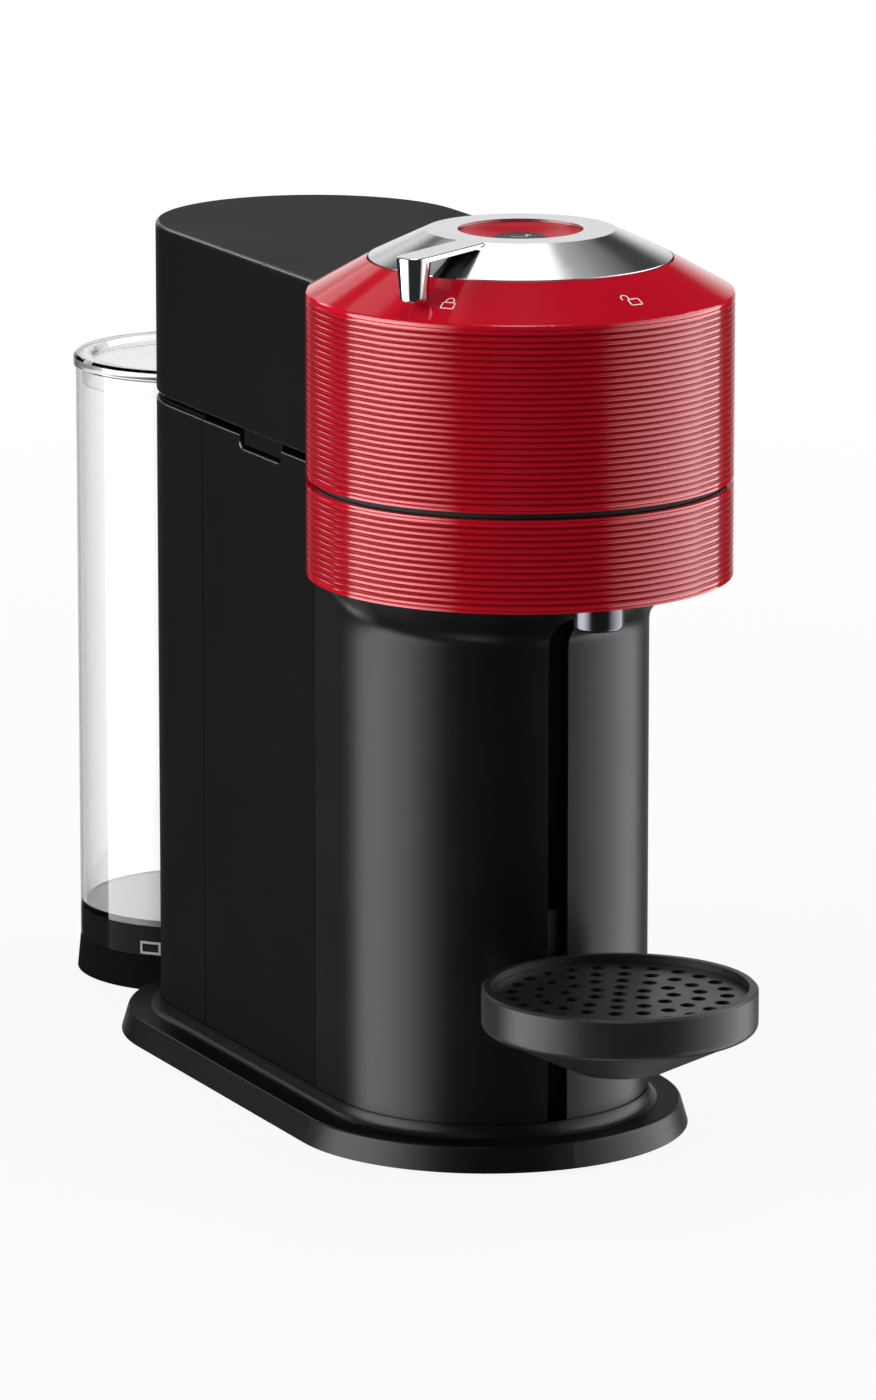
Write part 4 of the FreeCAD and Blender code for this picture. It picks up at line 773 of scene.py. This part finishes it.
@dataclass(frozen=True)
class Softbox:
    """One rectangular studio lamp that faces the machine.

    It stands at an angle round the machine from the camera. An upright lamp doesn't tilt down, and the
    ramp says where across its width the lamp is dark and where it is full.
    """

    name: str
    around: float
    height: float
    distance: float
    size: tuple[float, float]
    watts: float
    upright: bool = False
    ramp: tuple[float, float] = (-1.0, 0.0)

    def build(self, view_angle: float, aim: Vector) -> None:
        """Hang the lamp.

        Args:
            view_angle: Azimuth of the camera in degrees.
            aim: Point that the lamp faces.
        """
        turn = math.radians(view_angle + self.around)
        place = Vector((math.sin(turn), -math.cos(turn), 0.0)) * self.distance
        place.z = self.height
        lamp = bpy.data.lights.new(self.name, "AREA")
        lamp.shape = "RECTANGLE"
        lamp.size, lamp.size_y = self.size
        lamp.energy = self.watts
        lamp.use_nodes = True
        tree = lamp.node_tree
        tree.nodes.clear()
        across = add_node(tree, "ShaderNodeSeparateXYZ", None, {
            "Vector": add_node(tree, "ShaderNodeNewGeometry").outputs["Parametric"]})
        glow = add_node(tree, "ShaderNodeMapRange", {"From Min": self.ramp[0], "From Max": self.ramp[1]},
                        {"Value": across.outputs["X"]})
        light = add_node(tree, "ShaderNodeEmission", None, {"Strength": glow.outputs["Result"]})
        add_node(tree, "ShaderNodeOutputLight", None, {"Surface": light.outputs["Emission"]})
        holder = bpy.data.objects.new(self.name, lamp)
        holder.location = place
        target = Vector((aim.x, aim.y, self.height)) if self.upright else aim
        holder.rotation_euler = (target - place).to_track_quat("-Z", "Y").to_euler()
        # The clear tank shows the floor and the backdrop behind it, and no lamp.
        holder.visible_transmission = False
        bpy.context.scene.collection.objects.link(holder)


@dataclass
class Studio:
    """Pale floor, soft light and the camera."""

    # Camera
    azimuth: float = -25.44
    elevation: float = 12.43
    distance: float = 2.874
    aim_mm: Point3 = (14.88, 0.0, 132.29)
    focal_pixels: float = 8333.6
    frame_pixels: int = 1400
    sensor_mm: float = 36.0
    clip_end: float = 50.0

    # Brightness of the studio as light on the machine, in metal and through glass
    fill_light: float = 0.06
    dark_studio: float = 0.03
    clear_studio: float = 0.35

    # Backdrop behind the machine, as half angles and fades in metal and through glass
    backdrop_half: float = 10.0
    backdrop_fade: float = 17.0
    see_through_half: float = 30.0
    see_through_fade: float = 20.0

    # Ceiling in metal, and how steep a look has to be to meet it
    ceiling: float = 0.5
    ceiling_from: float = 0.93
    ceiling_full: float = 0.97

    # Floor, with its share of white near and far and its tone through glass
    floor_half: float = 12.0
    floor_near: float = 0.3
    floor_far: float = 1.3
    floor_white: float = 0.91
    clear_floor: float = 0.72
    behind_near: float = 0.16
    behind_far: float = 0.3
    paint: str = "#c8c8c8"
    paint_roughness: float = 0.6
    paint_specular: float = 0.2
    mirror: str = "#f4f4f4"
    mirror_roughness: float = 0.05

    # Two broad lamps beside the machine, one above it, and small ones behind that draw its edges
    lamp_aim: Point3 = (0.0, -0.05, 0.17)
    lamps: tuple[Softbox, ...] = (
        Softbox("left_softbox", around=-63.0, height=0.75, distance=1.5, size=(2.3, 1.5), watts=56.0,
                upright=True, ramp=(0.92, 0.5)),
        Softbox("right_softbox", around=84.8, height=0.75, distance=1.2, size=(2.23, 1.5), watts=37.0,
                upright=True, ramp=(0.04, 0.6)),
        Softbox("top_softbox", around=25.0, height=2.2, distance=0.095, size=(0.8, 0.8), watts=12.0),
        Softbox("rim_softbox", around=-160.0, height=0.98, distance=1.6, size=(0.8, 0.34), watts=0.6),
        Softbox("side_softbox", around=-158.0, height=1.74, distance=1.6, size=(0.7, 0.45), watts=0.5),
        Softbox("flank_softbox", around=165.0, height=2.08, distance=1.6, size=(0.62, 0.84), watts=0.8),
        Softbox("edge_softbox", around=-140.0, height=0.94, distance=1.6, size=(0.36, 0.24), watts=0.95),
        Softbox("back_softbox", around=-178.0, height=2.34, distance=1.3, size=(0.9, 0.68), watts=4.5),
    )

    def ahead(self, dip: float = 0.0) -> Vector:
        """Give the direction from the camera's side to the machine.

        Args:
            dip: How far the direction points below level, in degrees.

        Returns:
            A direction of length 1.
        """
        turn, tilt = math.radians(self.azimuth), math.radians(dip)
        return Vector((-math.sin(turn) * math.cos(tilt), math.cos(turn) * math.cos(tilt), -math.sin(tilt)))

    def camera(self) -> None:
        """Set the camera at the picture's angle."""
        lens = bpy.data.cameras.new("camera")
        lens.sensor_fit = "VERTICAL"
        lens.sensor_height = self.sensor_mm
        lens.lens = self.focal_pixels * self.sensor_mm / self.frame_pixels
        lens.clip_end = self.clip_end
        ahead = self.ahead(self.elevation)
        holder = bpy.data.objects.new("camera", lens)
        holder.location = Vector(self.aim_mm) * MM - ahead * self.distance
        holder.rotation_euler = ahead.to_track_quat("-Z", "Y").to_euler()
        bpy.context.scene.collection.objects.link(holder)
        bpy.context.scene.camera = holder

    def board(self) -> bpy.types.Material:
        """Make the floor's material, which fades to the white of the backdrop.

        The camera sees mostly white, with the machine's soft shadow in it. Glass sees white behind the
        machine and a grey tone in front, metal sees a mirror, and other light meets matt paint.

        Returns:
            The node material of the floor.
        """
        made = bpy.data.materials.new("Painted board, matt")
        made.use_nodes = True
        tree = made.node_tree
        tree.nodes.clear()
        ray = add_node(tree, "ShaderNodeLightPath").outputs
        place = add_node(tree, "ShaderNodeTexCoord").outputs["Object"]
        reach = add_node(tree, "ShaderNodeVectorMath", {"operation": "LENGTH"}, {0: place})
        fade = add_node(tree, "ShaderNodeMapRange", {
            "From Min": self.floor_near, "From Max": self.floor_far, "To Min": self.floor_white},
            {"Value": reach.outputs["Value"]})
        away = add_node(tree, "ShaderNodeVectorMath", {"operation": "DOT_PRODUCT", 1: self.ahead()},
                        {0: place})
        behind = add_node(tree, "ShaderNodeMapRange", {
            "From Min": self.behind_near, "From Max": self.behind_far, "To Min": self.clear_floor},
            {"Value": away.outputs["Value"]})
        glow = add_node(tree, "ShaderNodeMath", {"operation": "MAXIMUM"},
                        {0: ray["Is Camera Ray"], 1: behind.outputs["Result"]})
        seen = add_node(tree, "ShaderNodeMath", {"operation": "MAXIMUM"},
                        {0: ray["Is Camera Ray"], 1: ray["Is Transmission Ray"]})
        share = add_node(tree, "ShaderNodeMath", {"operation": "MULTIPLY"},
                         {0: fade.outputs["Result"], 1: seen.outputs["Value"]})
        paint = add_node(tree, "ShaderNodeBsdfPrincipled", {
            "Base Color": linear(self.paint), "Roughness": self.paint_roughness,
            "Specular IOR Level": self.paint_specular})
        mirror = add_node(tree, "ShaderNodeBsdfGlossy", {
            "Color": linear(self.mirror), "Roughness": self.mirror_roughness})
        plain = add_node(tree, "ShaderNodeMixShader", None, {
            0: ray["Is Glossy Ray"], 1: paint.outputs["BSDF"], 2: mirror.outputs["BSDF"]})
        white = add_node(tree, "ShaderNodeEmission", {"Color": linear(WHITE)},
                         {"Strength": glow.outputs["Value"]})
        both = add_node(tree, "ShaderNodeMixShader", None, {
            0: share.outputs["Value"], 1: plain.outputs["Shader"], 2: white.outputs["Emission"]})
        add_node(tree, "ShaderNodeOutputMaterial", None, {"Surface": both.outputs["Shader"]})
        return made

    def floor(self) -> None:
        """Lay the large floor under the feet."""
        half = self.floor_half
        corners = [(-half, -half, 0.0), (half, -half, 0.0), (half, half, 0.0), (-half, half, 0.0)]
        mesh = bpy.data.meshes.new("floor")
        mesh.from_pydata(corners, [], [(0, 1, 2, 3)])
        mesh.materials.append(self.board())
        floor = bpy.data.objects.new("floor", mesh)
        bpy.context.scene.collection.objects.link(floor)

    def world(self) -> None:
        """Surround the machine with dim soft light, with a plain white backdrop behind it.

        The camera sees only white. Metal sees a narrow backdrop and the ceiling of a dark studio, and
        glass sees a wide backdrop in a grey one.
        """
        world = bpy.data.worlds.new("studio")
        world.use_nodes = True
        bpy.context.scene.world = world
        tree = world.node_tree
        tree.nodes.clear()
        ray = add_node(tree, "ShaderNodeLightPath").outputs
        look = add_node(tree, "ShaderNodeTexCoord").outputs["Generated"]
        facing = add_node(tree, "ShaderNodeVectorMath", {"operation": "DOT_PRODUCT", 1: self.ahead()},
                          {0: look})
        seen = ray["Is Camera Ray"]
        for kind, half, fade in (("Is Glossy Ray", self.backdrop_half, self.backdrop_fade),
                                 ("Is Transmission Ray", self.see_through_half, self.see_through_fade)):
            backdrop = add_node(tree, "ShaderNodeMapRange", {
                "From Min": math.cos(math.radians(half + fade)), "From Max": math.cos(math.radians(half))},
                {"Value": facing.outputs["Value"]})
            shown = add_node(tree, "ShaderNodeMath", {"operation": "MULTIPLY"},
                             {0: ray[kind], 1: backdrop.outputs["Result"]})
            seen = add_node(tree, "ShaderNodeMath", {"operation": "MAXIMUM"},
                            {0: seen, 1: shown.outputs["Value"]}).outputs["Value"]
        upward = add_node(tree, "ShaderNodeSeparateXYZ", None, {"Vector": look}).outputs["Z"]
        overhead = add_node(tree, "ShaderNodeMapRange", {
            "From Min": self.ceiling_from, "From Max": self.ceiling_full,
            "To Min": self.dark_studio, "To Max": self.ceiling}, {"Value": upward})
        in_metal = add_node(tree, "ShaderNodeMapRange", {"To Min": self.fill_light},
                            {"Value": ray["Is Glossy Ray"], "To Max": overhead.outputs["Result"]})
        in_glass = add_node(tree, "ShaderNodeMapRange", {"To Max": self.clear_studio},
                            {"Value": ray["Is Transmission Ray"], "To Min": in_metal.outputs["Result"]})
        white = add_node(tree, "ShaderNodeBackground", {"Color": linear(WHITE), "Strength": 1.0})
        soft = add_node(tree, "ShaderNodeBackground", {"Color": linear(WHITE)},
                        {"Strength": in_glass.outputs["Result"]})
        both = add_node(tree, "ShaderNodeMixShader", None, {
            0: seen, 1: soft.outputs["Background"], 2: white.outputs["Background"]})
        add_node(tree, "ShaderNodeOutputWorld", None, {"Surface": both.outputs["Shader"]})

    def build(self) -> None:
        """Set up floor, world, lamps and camera."""
        self.floor()
        self.world()
        for lamp in self.lamps:
            lamp.build(self.azimuth, Vector(self.lamp_aim))
        self.camera()
        bpy.context.scene.view_settings.view_transform = "Standard"


def main() -> None:
    """Load the frame, dress every piece and set up the studio."""
    logging.basicConfig(level=logging.INFO, format="%(message)s")
    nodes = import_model()["nodes"]
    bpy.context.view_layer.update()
    for assembly in (Body(), Lever(), CupSupport(), WaterTank(), BrewUnit(), WaterSystem()):
        assembly.dress(nodes)
    button = StartButton()
    button.dress(nodes)
    button.build()
    LockSigns().build()
    Studio().build()


if __name__ == "__main__":
    main()
